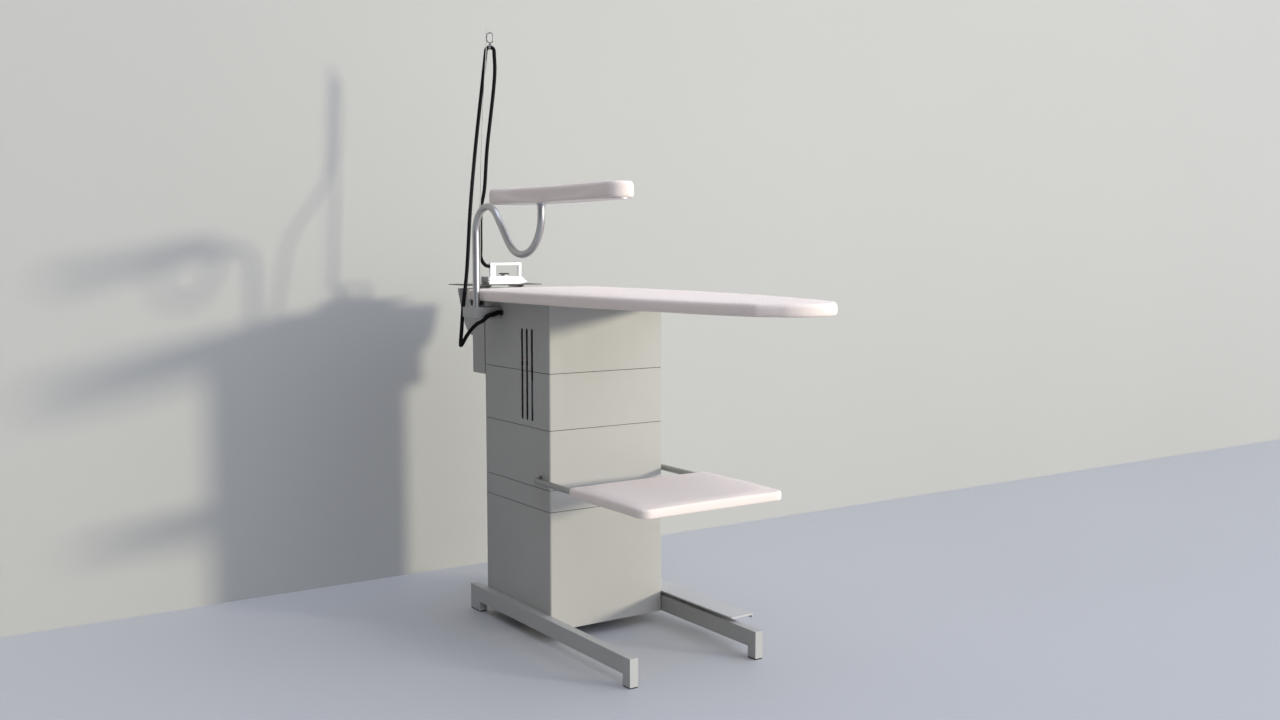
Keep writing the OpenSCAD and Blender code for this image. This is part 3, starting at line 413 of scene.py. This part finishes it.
def weave_height(s, pitch):
    """Checkered open weave, projected from the side the surface faces.  1 on threads, 0 in the gaps."""
    turn = 2 * math.pi / pitch
    split = s.node("ShaderNodeSeparateXYZ")
    s.link(s.place, split.inputs[0])
    geometry = s.node("ShaderNodeNewGeometry")
    facing = s.node("ShaderNodeSeparateXYZ")
    s.link(geometry.outputs["Normal"], facing.inputs[0])
    waves = [s.math("SINE", s.math("MULTIPLY", split.outputs[i], turn)) for i in range(3)]
    weights = [s.math("POWER", s.math("ABSOLUTE", facing.outputs[i]), 4.0) for i in range(3)]
    total = s.math("ADD", s.math("ADD", weights[0], weights[1]), weights[2])
    height = None
    for axis, (a, b) in enumerate(((1, 2), (0, 2), (0, 1))):
        part = s.math("MULTIPLY", s.math("MULTIPLY", waves[a], waves[b]), weights[axis])
        height = part if height is None else s.math("ADD", height, part)
    return s.remap(s.math("DIVIDE", height, total), -1.0, 1.0, 0.0, 1.0)


def woven(name, colour, shade, pitch=5.0 * MM):
    """Padding cover: open checker weave over foam, with painted shade in the gaps between threads, fibre fuzz and
    faint scorching.
    """
    s = Shader(name)
    weave = weave_height(s, pitch)
    fibre = s.noise(1400.0, 3.0, 0.7)
    stain = s.noise(5.0, 4.0, 0.6)
    # The shade colour goes into the gaps between threads: painted shade in the open weave.
    cloth = s.mix(s.remap(weave, 0.1, 0.55, 0.0, 1.0), shade, colour)
    cloth = s.mix(s.remap(stain, 0.45, 0.85, 0.0, 0.25), cloth, (0.80, 0.70, 0.60))
    s.put(Base_Color=cloth, Roughness=0.9, Sheen_Weight=0.08, Sheen_Roughness=0.5,
          Specular_IOR_Level=0.2)
    rough = s.bump(fibre, 0.15, 0.15 * MM)
    s.put(Normal=s.bump(weave, 0.35, 0.5 * MM, rough))
    return s.material


def translucent(name, colour):
    """Milky tank plastic."""
    s = Shader(name)
    flow = s.noise(12.0, 3.0)
    s.put(Base_Color=s.mix(flow, tint(colour, 0.94), colour), Roughness=s.remap(flow, 0.3, 0.7, 0.3, 0.45))
    s.put(Transmission_Weight=0.25, Normal=s.bump(s.noise(300.0), 0.08, 0.2 * MM, s.soft_edge(1.0 * MM)))
    return s.material


PAINT = paint("cabinet_paint", (0.375, 0.362, 0.330))
LEG_PAINT = paint("leg_paint", (0.38, 0.375, 0.352), 0.38)
PEDAL_PAINT = paint("pedal_paint", (0.47, 0.465, 0.445), 0.38)
# Near-black paint for the inner frame, board stand and blower motor; behind the seams between the shells it is
# painted shade that makes the gaps read dark.
DARK_PAINT = paint("frame_paint", (0.035, 0.036, 0.040), 0.5)
STEEL = brushed("satin_steel", (0.62, 0.62, 0.61))
ROD_STEEL = brushed("tray_rod_steel", (0.42, 0.42, 0.40), 0.34, (1.0, 18.0, 18.0))
TUBE_METAL = satin("arm_tube_metal", (0.48, 0.48, 0.475), 0.30)
WIRE = satin("pole_wire", (0.34, 0.34, 0.33), 0.42)
ZINC = galvanised("galvanised_sheet", (0.50, 0.51, 0.52))
ALLOY = brushed("cast_alloy", (0.66, 0.66, 0.67), 0.42, (3.0, 3.0, 3.0), 0.8 * MM)
BRASS = brushed("brass", (0.66, 0.48, 0.22), 0.32, (4.0, 4.0, 4.0))
COPPER = brushed("copper_pipe", (0.72, 0.38, 0.24), 0.3, (3.0, 3.0, 3.0))
TANK = translucent("tank_plastic", (0.80, 0.82, 0.82))
BLACK = plastic("black_plastic", (0.016, 0.016, 0.017), 0.5)
DARK = plastic("dark_plastic", (0.045, 0.046, 0.05), 0.48)
WHITE = plastic("white_gloss", (0.86, 0.86, 0.84), 0.2, 0.02, 0.6)
GREY = plastic("grey_plastic", (0.36, 0.36, 0.33), 0.5)
RED = plastic("red_gloss", (0.42, 0.02, 0.015), 0.25, 0.02, 0.5)
PLATE = plastic("rest_plate", (0.022, 0.022, 0.023), 0.42, 0.35)
RUBBER = rubber("hose_rubber")
# The second colour is painted shade for the gaps of the weave.
CLOTH = woven("board_weave", (0.84, 0.735, 0.665), (0.54, 0.455, 0.415))

NODE_MATERIALS = {
    PAINT: ["lower_shell", "lower_band", "middle_shell", "upper_shell", "top_shell", "rear_housing",
            "arm_bracket", "rest_brackets"],
    LEG_PAINT: ["operator_leg", "far_leg"],
    PEDAL_PAINT: ["pedal_plate"],
    DARK_PAINT: ["inner_frame", "board_stand", "blower_motor"],
    STEEL: ["frame_screws", "pedal_pin", "pedal_spring", "boiler", "board_mesh", "board_heater"],
    ROD_STEEL: ["tray_frame"],
    WIRE: ["hose_pole", "hose_hook"],
    TUBE_METAL: ["arm_tube", "arm_collars", "arm_bush"],
    ZINC: ["base_pan", "blower_housing", "suction_duct", "boiler_shelf", "board_pan", "pedal_brackets"],
    ALLOY: ["impeller", "iron_soleplate", "sleeve_base"],
    BRASS: ["steam_valve"],
    COPPER: ["steam_pipe"],
    TANK: ["water_tank"],
    BLACK: ["heat_knob", "iron_dial", "pole_socket", "tray_bushes", "pedal_switch"],
    PLATE: ["iron_rest"],
    DARK: ["control_plate", "feed_pump"],
    WHITE: ["iron_body", "iron_handle"],
    RED: ["mains_switch"],
    GREY: ["iron_heel_cap", "iron_button"],
    RUBBER: ["foot_pads", "hose_supply", "hose_drop", "hose_arch", "strain_relief"],
    CLOTH: ["board_pad", "sleeve_pad", "tray_pad"],
}


def paint_cad_nodes():
    """Every carried-over CAD node gets its procedural material."""
    for material, names in NODE_MATERIALS.items():
        for name in names:
            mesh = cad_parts[name].data
            mesh.materials.clear()
            mesh.materials.append(material)


# ---------------------------------------------------------------- padded covers

def simulate_cloth(obj, pressure):
    """Point positions after twenty frames of inflating the closed mesh as cloth."""
    cloth = obj.modifiers.new("cloth", "CLOTH")
    cloth.settings.use_pressure = True
    cloth.settings.uniform_pressure_force = pressure
    cloth.settings.quality = 4
    cloth.settings.mass = 0.4
    cloth.settings.tension_stiffness = 40.0
    cloth.settings.compression_stiffness = 40.0
    cloth.settings.shear_stiffness = 20.0
    cloth.settings.bending_stiffness = 4.0
    cloth.settings.effector_weights.gravity = 0.0
    cloth.collision_settings.use_self_collision = False
    cloth.point_cache.frame_end = 20
    scene = bpy.context.scene
    for number in range(1, 21):
        scene.frame_set(number)
    graph = bpy.context.evaluated_depsgraph_get()
    swollen = obj.evaluated_get(graph)
    points = np.empty(len(swollen.data.vertices) * 3)
    swollen.data.vertices.foreach_get("co", points)
    obj.modifiers.remove(cloth)
    scene.frame_set(1)
    return points.reshape(-1, 3)


def half_plan(node, step):
    """Convex plan of a pad, sampled along its +Y half from the +X end to the -X end."""
    low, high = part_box(node)
    axis, mid = (low.y + high.y) / 2, (low.x + high.x) / 2
    flat = [(v.co.x, v.co.y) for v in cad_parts[node].data.vertices]
    upper = [flat[i] for i in convex_hull_2d(flat) if flat[i][1] > axis + 0.1 * MM]
    upper.sort(key=lambda p: math.atan2(p[1] - axis, p[0] - mid))
    rim = [Vector(p) for p in [(high.x, axis)] + upper + [(low.x, axis)]]
    lengths = [0.0]
    for a, b in zip(rim, rim[1:]):
        lengths.append(lengths[-1] + (b - a).length)
    count = int(lengths[-1] / step)
    points, i = [], 0
    for k in range(count + 1):
        at = lengths[-1] * k / count
        while i < len(rim) - 2 and lengths[i + 1] < at:
            i += 1
        points.append(rim[i].lerp(rim[i + 1], (at - lengths[i]) / (lengths[i + 1] - lengths[i])))
    return points


def inward(points):
    """Unit directions into the plan at each point of its +Y half."""
    out = []
    for i in range(len(points)):
        along = points[min(i + 1, len(points) - 1)] - points[max(i - 1, 0)]
        out.append(Vector((-along.y, along.x)).normalized())
    out[0], out[-1] = Vector((-1.0, 0.0)), Vector((1.0, 0.0))
    return out


def cover_mesh(name, node, step, section, spine, rows):
    """Closed pad shell made of rings.  The section runs from the roof of the recess underneath, round the
    hem and the side to the top; both its ends are drawn in to the long axis.  The spine is how far that
    axis stays from the two ends.  Returns the object and a 0 or 1 for each point: free to move or not."""
    low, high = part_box(node)
    axis = (low.y + high.y) / 2
    ends = (low.x + spine[0] * MM, high.x - spine[1] * MM)
    plan = half_plan(node, step)
    into = inward(plan)

    def ring(inset, height, share):
        half = []
        for p, d in zip(plan, into):
            q = p + d * inset * MM
            hub = Vector((min(max(q.x, ends[0]), ends[1]), axis))
            q = q.lerp(hub, share)
            half.append((q.x, q.y, low.z + height * MM))
        return half + [(x, 2 * axis - y, z) for x, y, z in half[-2:0:-1]]

    first, last = section[0], section[-1]
    rings = [ring(*first, 1.0 - k / 4) for k in range(4)]
    rings += [ring(*point, 0.0) for point in section]
    rings += [ring(*last, (k + 1) / rows) for k in range(rows)]
    tight = 4 + 3
    verts, faces, free, grid = [], [], [], []
    for number, points in enumerate(rings):
        seen, row = {}, []
        for x, y, z in points:
            key = (round(x / (0.2 * MM)), round(y / (0.2 * MM)))
            if key not in seen:
                seen[key] = len(verts)
                verts.append((x, y, z))
                free.append(1.0 if number >= tight else 0.0)
            row.append(seen[key])
        grid.append(row)
    for a, b in zip(grid, grid[1:]):
        for k in range(len(a)):
            m = (k + 1) % len(a)
            corners = list(dict.fromkeys((a[k], a[m], b[m], b[k])))
            if len(corners) > 2:
                faces.append(tuple(corners))
    return mesh_object(name, verts, faces), np.array(free)


def padded_cover(name, node, body, step, section, spine, rows, cap=2.0 * MM):
    """Soft cover over one pad, inflated as cloth with its movement limited to the cap."""
    obj, free = cover_mesh(name, node, step, section, spine, rows)
    rest = np.empty(len(obj.data.vertices) * 3)
    obj.data.vertices.foreach_get("co", rest)
    rest = rest.reshape(-1, 3)
    moved = simulate_cloth(obj, 4.0) - rest
    length = np.linalg.norm(moved, axis=1, keepdims=True)
    moved *= np.minimum(1.0, cap / np.maximum(length, 1e-9))
    obj.data.vertices.foreach_set("co", (rest + moved * free[:, None]).ravel())
    settle = obj.modifiers.new("settle", "SMOOTH")
    settle.factor = 0.4
    settle.iterations = 1
    fine = obj.modifiers.new("fine", "SUBSURF")
    fine.levels = fine.render_levels = 1
    apply_modifiers(obj)
    return finish_piece(smooth(obj, 80.0), CLOTH, body, node)


# Inset and height in mm, from the recess roof over the hem and side to the top
BOARD_SECTION = [(14.4, 16.0), (14.4, 9.0), (14.4, 0.6), (13.6, 0.0), (10.0, 0.0), (6.0, 0.2), (3.0, 1.0),
                 (1.2, 2.8), (0.5, 6.0), (0.3, 11.0), (0.3, 16.0), (0.6, 20.5), (1.8, 24.2), (4.2, 26.8),
                 (7.8, 28.2), (12.5, 28.7)]
SLEEVE_SECTION = [(8.5, 10.6), (8.5, 6.0), (8.5, 0.6), (7.8, 0.0), (5.4, 0.0), (3.2, 0.6), (1.5, 2.4),
                  (0.5, 5.8), (0.3, 11.0), (0.3, 17.0), (0.3, 23.0), (0.5, 28.5), (1.6, 32.6), (4.0, 35.6),
                  (7.6, 36.9), (12.5, 37.3)]


def padded_covers():
    padded_cover("board_cover", "board_pad", "table", 9 * MM, BOARD_SECTION, (48, 120), 16)
    padded_cover("sleeve_cover", "sleeve_pad", "sleeve_board", 7 * MM, SLEEVE_SECTION, (34, 58), 7)
    low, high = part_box("tray_pad")
    thick = (high.z - low.z) / MM
    tray = [(12.0, 0.0), (8.0, 0.0), (4.0, 0.5), (1.2, 2.4), (0.3, 5.5), (0.2, 0.5 * thick), (0.3, thick - 6.5),
            (1.3, thick - 3.2), (4.0, thick - 1.0), (8.0, thick - 0.2), (13.0, thick)]
    padded_cover("tray_cover", "tray_pad", "tray", 8 * MM, tray, (120, 120), 14)


# ---------------------------------------------------------------- tubes and rods

def arm_tube():
    """The sleeve arm's bent tube, following the CAD tube's four tangent runs."""
    low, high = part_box("arm_tube")
    r = 9.35 * MM
    y = (low.y + high.y) / 2
    right, left = high.x - r, low.x + r
    bend, dip = 70 * MM, 99 * MM
    c1 = Vector((right - bend, y, high.z))
    c1.z = 1066.5 * MM
    c2 = Vector((left + dip, y, 1110.4 * MM))
    gap = (c2 - c1).length
    head = math.pi - math.atan2(c2.z - c1.z, c1.x - c2.x) + math.asin((bend + dip) / gap)
    path = [Vector((right, y, low.z))]
    steps = 40
    for k in range(steps + 1):
        a = (head - math.pi / 2) * k / steps
        path.append(c1 + bend * Vector((math.cos(a), 0, math.sin(a))))
    end = head + math.pi / 2
    for k in range(steps + 1):
        a = end + (math.pi - end) * k / steps
        path.append(c2 + dip * Vector((math.cos(a), 0, math.sin(a))))
    path.append(Vector((left, y, high.z)))
    tube = sweep("sleeve_arm_tube", path, r, circle_section(32))
    finish_piece(smooth(tube), TUBE_METAL, "arm", "arm_tube")


def tray_rod():
    """U-shaped tray rod with its ends turned into the cabinet."""
    low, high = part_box("tray_frame")
    r = 8 * MM
    side, front, z = high.y - r, low.x + r, (low.z + high.z) / 2
    back, inside = high.x - r, 160 * MM
    corners = [(back, -inside, z), (back, -side, z), (front, -side, z), (front, side, z),
               (back, side, z), (back, inside, z)]
    rod = sweep("tray_rod", bent_path(corners, [18 * MM, 25 * MM, 25 * MM, 18 * MM]), r, circle_section(28))
    finish_piece(smooth(rod), ROD_STEEL, "tray", "tray_frame")


def spring_coil():
    """Helical pedal spring with closed ends."""
    low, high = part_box("pedal_spring")
    wire = 1.0 * MM
    mid = (low + high) / 2
    coil = (high.x - low.x) / 2 - wire
    turns, per_turn = 8, 24
    path = []
    for k in range(turns * per_turn + 1):
        t = k / (turns * per_turn)
        rise = min(max((t - 0.1) / 0.8, 0.0), 1.0)
        a = 2 * math.pi * turns * t
        path.append((mid.x + coil * math.cos(a), mid.y + coil * math.sin(a),
                     low.z + wire + rise * (high.z - low.z - 2 * wire)))
    coil_piece = sweep("spring_coil", path, wire, circle_section(8))
    finish_piece(smooth(coil_piece), STEEL, "table", "pedal_spring")
    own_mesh(coil_piece)


# ---------------------------------------------------------------- hoses

HOSE_R = 5.2 * MM
SUPPLY = [(256, 215, 847), (258.5, 227, 837.5), (263, 234, 831), (277, 242, 823.5), (293, 251, 808),
          (307, 259, 789), (317, 264.5, 772), (322, 266.5, 765), (328, 266.5, 763), (334, 263.5, 772),
          (342, 256, 808), (356, 245, 858), (368, 226, 960), (390, 202, 1133), (470, 144, 1304), (462, 120.5, 1512),
          (460.1, 112.3, 1580.9)]
DROP = [(447.1, 92.9, 1580.9), (448, 91, 1520), (460, 112, 1304), (466, 119, 1190),
        (470, 127, 1143), (470, 130, 1022), (467, 132, 1003), (461, 129, 988), (456.5, 122, 978),
        (455, 109.5, 975)]


def in_metres(points):
    return [Vector(p) * MM for p in points]


def hoses():
    """Supply run, arch over the hook and drop run, one continuous steam hose in four lengths."""
    step = 5 * MM
    supply = curve_points(in_metres(SUPPLY), step)
    supply_hose = sweep("supply_hose", supply, HOSE_R)
    drop = curve_points(in_metres(DROP), step)
    half = min(range(len(drop)), key=lambda i: abs(drop[i].z - 1.30))
    upper_hose = sweep("drop_hose_upper", drop[:half + 1], HOSE_R)
    lower_hose = sweep("drop_hose_lower", drop[half:], HOSE_R)
    far, near = supply[-1], drop[0]
    mid = (far + near) / 2
    reach = (near - far) / 2
    arch = [mid - reach * math.cos(a) + Vector((0, 0, reach.length * math.sin(a)))
            for a in [math.pi * k / 24 for k in range(25)]]
    arch_hose = sweep("arch_hose", arch, HOSE_R)
    for hose in (supply_hose, upper_hose, lower_hose, arch_hose):
        smooth(hose, 60.0)
        hose.data.materials.append(RUBBER)
    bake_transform(supply_hose)
    dress(supply_hose, "hose_supply")
    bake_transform(upper_hose)
    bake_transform(lower_hose)
    dress(lower_hose, "hose_drop")
    finish_piece(arch_hose, RUBBER, "pole", "hose_arch")


def strain_relief():
    """Gland nut on the wall and a ribbed rubber boot that droops over the hose."""
    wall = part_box("top_shell")[1].y
    tip = Vector(SUPPLY[0]) * MM
    root = Vector((centre("strain_relief").x - 0.5 * MM, wall, 853 * MM))
    knots = [root, root + Vector((0, 14 * MM, 0)), (root + tip) / 2 + Vector((0, 6 * MM, -1.0 * MM)), tip,
             tip + Vector((3, 12, -7)) * MM]
    path = curve_points(knots, 0.8 * MM)
    count = len(path)
    radii = []
    for i in range(count):
        t = i / (count - 1)
        rib = 0.4 * MM if (i % 6) < 3 and 0.2 < t < 0.92 else 0.0
        radii.append((6.3 - 0.6 * t) * MM + rib)
    boot = sweep("relief_boot", path, radii, circle_section(28))
    finish_piece(smooth(boot, 50.0), RUBBER, "table", "strain_relief")
    nut = lathe("gland_nut", [(7.4 * MM, 0.0), (8.0 * MM, 0.4 * MM), (8.0 * MM, 3.0 * MM), (7.4 * MM, 4.0 * MM)],
                root, (0, 1, 0), 60, 20, 0.4 * MM, (1, 2))
    finish_piece(smooth(nut), BLACK, "table")


# ---------------------------------------------------------------- iron

IRON_X, IRON_HEEL, IRON_REST = 455 * MM, 124 * MM, 923 * MM


def iron_outline(inset, height, tip_cut=0.0):
    """Ring of points round the iron at one height: square heel, straight sides, pointed nose.
    The tip cut pulls the nose back further than the inset alone."""
    w, straight, nose_r, corner = 23.0, 90.0, 57.5, 2.0
    length = 136.0
    side = []
    for k in range(5):
        a = math.pi / 2 * (1 - k / 4)
        side.append((w - corner + corner * math.cos(a), -corner + corner * math.sin(a)))
    for k in range(1, 9):
        side.append((w, -corner - (straight - corner) * k / 8))
    sweep_angle = math.acos((nose_r - w) / nose_r)
    for k in range(1, 17):
        a = sweep_angle * k / 16
        side.append((w - nose_r + nose_r * math.cos(a), -straight - nose_r * math.sin(a)))
    points = side + [(-x, y) for x, y in reversed(side[:-1])]
    shrink_x = (w - inset) / w
    shrink_y = (length - 2 * inset - tip_cut) / length
    return [Vector((IRON_X + x * shrink_x * MM, IRON_HEEL + (y * shrink_y - inset) * MM,
                    IRON_REST + height * MM)) for x, y in points]


def iron():
    """Soleplate, stepped body, bridge handle, dial, button and the block at the heel."""
    sole = loft("soleplate", [iron_outline(i, h) for i, h in
                              ((1.6, 0.1), (0.4, 0.7), (0.0, 1.5), (0.0, 3.9), (0.6, 4.5))])
    finish_piece(smooth(sole, 30.0), ALLOY, "iron", "iron_soleplate")
    profile = ((1.2, 4.6, 0), (0.4, 5.0, 0), (0.4, 9.6, 0.5), (0.8, 10.2, 1.0), (4.0, 10.6, 2.0),
               (4.4, 11.0, 2.5), (4.4, 12.2, 3.0), (2.6, 12.6, 3.0), (2.3, 13.2, 3.0), (3.0, 22.0, 15.0),
               (3.4, 22.7, 16.0), (4.4, 23.2, 17.0))
    hull = loft("iron_hull", [iron_outline(*level) for level in profile])
    seat = lathe("dial_seat", [(9.5 * MM, 22 * MM), (9.0 * MM, 26 * MM), (8.0 * MM, 28.4 * MM)],
                 (IRON_X, IRON_HEEL - 61 * MM, IRON_REST), (0, 0, 1))
    body = join("iron_shell", [hull, seat])
    finish_piece(smooth(body, 25.0), WHITE, "iron", "iron_body")
    iron_handle()
    iron_dial()
    button = lathe("steam_key", [(4.0 * MM, 60.6 * MM), (4.0 * MM, 64.0 * MM), (3.6 * MM, 64.9 * MM),
                                 (2.6 * MM, 65.2 * MM)],
                   (IRON_X, IRON_HEEL - 97 * MM, IRON_REST), (0, 0, 1))
    finish_piece(smooth(button), GREY, "button", "iron_button")
    low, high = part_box("iron_heel_cap")
    cap = rounded_block("heel_cap", low, high, 0.8 * MM)
    finish_piece(smooth(cap, 40.0), GREY, "iron", "iron_heel_cap")


def extruded(name, outline, low, high, bevel):
    """Solid from a closed outline of (y, z) points, carried along X from low to high, with eased edges."""
    bm = bmesh.new()
    base = [bm.verts.new((low, y, z)) for y, z in outline]
    cap = [bm.verts.new((high, y, z)) for y, z in outline]
    bm.faces.new(base)
    bm.faces.new(cap)
    for k in range(len(outline)):
        m = (k + 1) % len(outline)
        bm.faces.new((base[k], base[m], cap[m], cap[k]))
    bmesh.ops.recalc_face_normals(bm, faces=bm.faces)
    bmesh.ops.bevel(bm, geom=bm.edges[:], offset=bevel, segments=3, profile=0.5, affect="EDGES")
    mesh = bpy.data.meshes.new(name)
    bm.to_mesh(mesh)
    bm.free()
    return new_object(name, mesh)


def iron_handle():
    """Square bridge handle: a wide rear pillar, a slim front one and a flat bar."""
    low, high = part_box("iron_handle")
    foot, top, bar = low.z - 0.4 * MM, high.z, 7 * MM
    rear, front = high.y, low.y
    outline = [(rear, foot), (rear, top), (front, top), (front, foot), (front + 9 * MM, foot),
               (front + 9 * MM, top - bar), (rear - 18 * MM, top - bar), (rear - 18 * MM, foot)]
    grip = extruded("iron_grip", outline, low.x + 0.5 * MM, high.x - 0.5 * MM, 1.0 * MM)
    finish_piece(smooth(grip, 40.0), WHITE, "iron", "iron_handle")


def iron_dial():
    """Knurled thermostat wheel."""
    low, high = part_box("iron_dial")
    mid = (low + high) / 2
    h = high.z - low.z
    r = (high.x - low.x) / 2
    wheel = lathe("thermostat_wheel", [(r - 1.0 * MM, 0), (r, 0.5 * MM), (r, h - 0.6 * MM), (r - 1.0 * MM, h),
                                       (r - 4.0 * MM, h), (r - 5.0 * MM, h - 0.8 * MM)],
                  (mid.x, mid.y, low.z), (0, 0, 1), 144, 36, 0.5 * MM, (1, 2))
    finish_piece(smooth(wheel), BLACK, "dial", "iron_dial")


# ---------------------------------------------------------------- controls

def heat_knob():
    """Fluted knob with a raised pointer."""
    low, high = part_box("heat_knob")
    mid = (low + high) / 2
    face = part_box("control_plate")[0].y
    r = 17 * MM
    base = face - 0.3 * MM
    grip = lathe("knob_grip", [(3.0 * MM, -12 * MM), (3.0 * MM, 0), (r, 0.0), (r, 2.5 * MM), (r - 2.2 * MM, 3.5 * MM),
                               (r - 3.0 * MM, 13.0 * MM), (r - 4.5 * MM, 14.6 * MM), (r - 7 * MM, 14.8 * MM)],
                 (mid.x, base, mid.z), (0, -1, 0), 120, 12, 1.6 * MM, (4, 5))
    pointer = rounded_block("pointer", (mid.x - 1.5 * MM, low.y, mid.z - 2 * MM),
                            (mid.x + 1.5 * MM, low.y + 5 * MM, mid.z + 13 * MM), 0.7 * MM)
    knob = join("knob_body", [grip, pointer])
    finish_piece(smooth(knob), BLACK, "knob", "heat_knob")


# ---------------------------------------------------------------- stage, light and camera

CAMERA_AT = (-2.813, 1.8044, 1.0325)
CAMERA_YAW, CAMERA_PITCH = -34.13, -5.11
FOCAL_PX, IMAGE_PX = 1272.4, 1280.0
WALL_X = 0.863
TO_SUN = Vector((-0.797, -0.588, 0.135))


def stage_material(name, colour, one_sided=False):
    """Plaster or screed with soft mottling.  A one-sided wall is clear from behind."""
    s = Shader(name)
    mottle = s.noise(0.8, 4.0)
    grain = s.noise(160.0, 3.0)
    s.put(Base_Color=s.mix(s.remap(mottle, 0.3, 0.7, 0.0, 1.0), tint(colour, 0.985), tint(colour, 1.01)))
    s.put(Roughness=0.55, Specular_IOR_Level=0.5, Normal=s.bump(grain, 0.03, 0.5 * MM))
    if one_sided:
        clear = s.node("ShaderNodeBsdfTransparent")
        side = s.node("ShaderNodeNewGeometry")
        pick = s.node("ShaderNodeMixShader")
        s.link(side.outputs["Backfacing"], pick.inputs[0])
        s.link(s.bsdf.outputs[0], pick.inputs[1])
        s.link(clear.outputs[0], pick.inputs[2])
        s.link(pick.outputs[0], s.tree.nodes["Material Output"].inputs["Surface"])
    return s.material


def stage():
    size = 12.0
    floor = mesh_object("floor", [(-size, -size, 0), (size, -size, 0), (size, size, 0), (-size, size, 0)],
                        [(0, 1, 2, 3)])
    floor.data.materials.append(stage_material("floor_screed", (0.43, 0.43, 0.43)))
    mesh = bpy.data.meshes.new("wall")
    mesh.from_pydata([(WALL_X, -size, 0), (WALL_X, -size, 8), (WALL_X, size, 8), (WALL_X, size, 0)], [],
                     [(0, 3, 2, 1)])
    wall = new_object("wall", mesh)
    if mesh.polygons[0].normal.x > 0:
        mesh.flip_normals()
    wall.data.materials.append(stage_material("wall_plaster", (0.365, 0.36, 0.335), True))


def world_light():
    """Sky that is blue overhead, warm and bright toward the low sun, and dim on the far side."""
    world = bpy.data.worlds.new("sky")
    bpy.context.scene.world = world
    world.use_nodes = True
    tree = world.node_tree
    back = tree.nodes["Background"]

    def node(kind, **settings):
        made = tree.nodes.new(kind)
        for key, value in settings.items():
            setattr(made, key, value)
        return made

    place = node("ShaderNodeTexCoord").outputs["Generated"]

    def lobe(direction, low, high):
        """Ramp from 0 to 1 with the angle toward a direction."""
        dot = node("ShaderNodeVectorMath", operation="DOT_PRODUCT")
        tree.links.new(place, dot.inputs[0])
        dot.inputs[1].default_value = Vector(direction).normalized()
        ramp = node("ShaderNodeMapRange", interpolation_type="SMOOTHSTEP")
        tree.links.new(dot.outputs["Value"], ramp.inputs[0])
        ramp.inputs[1].default_value = low
        ramp.inputs[2].default_value = high
        return ramp.outputs[0]

    def mix(factor, a, b):
        made = node("ShaderNodeMix", data_type="RGBA")
        tree.links.new(factor, made.inputs[0])
        for socket, colour in ((made.inputs[6], a), (made.inputs[7], b)):
            if isinstance(colour, bpy.types.NodeSocket):
                tree.links.new(colour, socket)
            else:
                socket.default_value = (*colour, 1.0)
        return made.outputs[2]

    sides = mix(lobe((-0.6, -0.75, 0.15), -0.3, 0.95), (0.045, 0.06, 0.10), (0.72, 0.70, 0.63))
    sky = mix(lobe((-0.42, -0.45, 0.78), 0.2, 0.95), sides, (1.85, 1.99, 2.39))
    tree.links.new(sky, back.inputs["Color"])
    back.inputs["Strength"].default_value = 1.0


def sun_light():
    light = bpy.data.lights.new("low_sun", "SUN")
    light.energy = 2.1
    light.angle = math.radians(5.0)
    light.color = (1.0, 0.945, 0.77)
    obj = bpy.data.objects.new("low_sun", light)
    bpy.context.scene.collection.objects.link(obj)
    obj.rotation_euler = TO_SUN.to_track_quat("Z", "Y").to_euler()


def camera():
    data = bpy.data.cameras.new("photo_camera")
    data.sensor_width = 36.0
    data.lens = 36.0 * FOCAL_PX / IMAGE_PX
    data.clip_end = 60.0
    obj = bpy.data.objects.new("photo_camera", data)
    bpy.context.scene.collection.objects.link(obj)
    yaw, pitch = math.radians(CAMERA_YAW), math.radians(CAMERA_PITCH)
    look = Vector((math.cos(yaw) * math.cos(pitch), math.sin(yaw) * math.cos(pitch), math.sin(pitch)))
    obj.location = CAMERA_AT
    obj.rotation_euler = look.to_track_quat("-Z", "Y").to_euler()
    bpy.context.scene.camera = obj


# ---------------------------------------------------------------- build

paint_cad_nodes()
padded_covers()
arm_tube()
tray_rod()
spring_coil()
hoses()
strain_relief()
iron()
heat_knob()
stage()
world_light()
sun_light()
camera()
bpy.context.scene.view_settings.view_transform = "Standard"
bpy.context.view_layer.update()
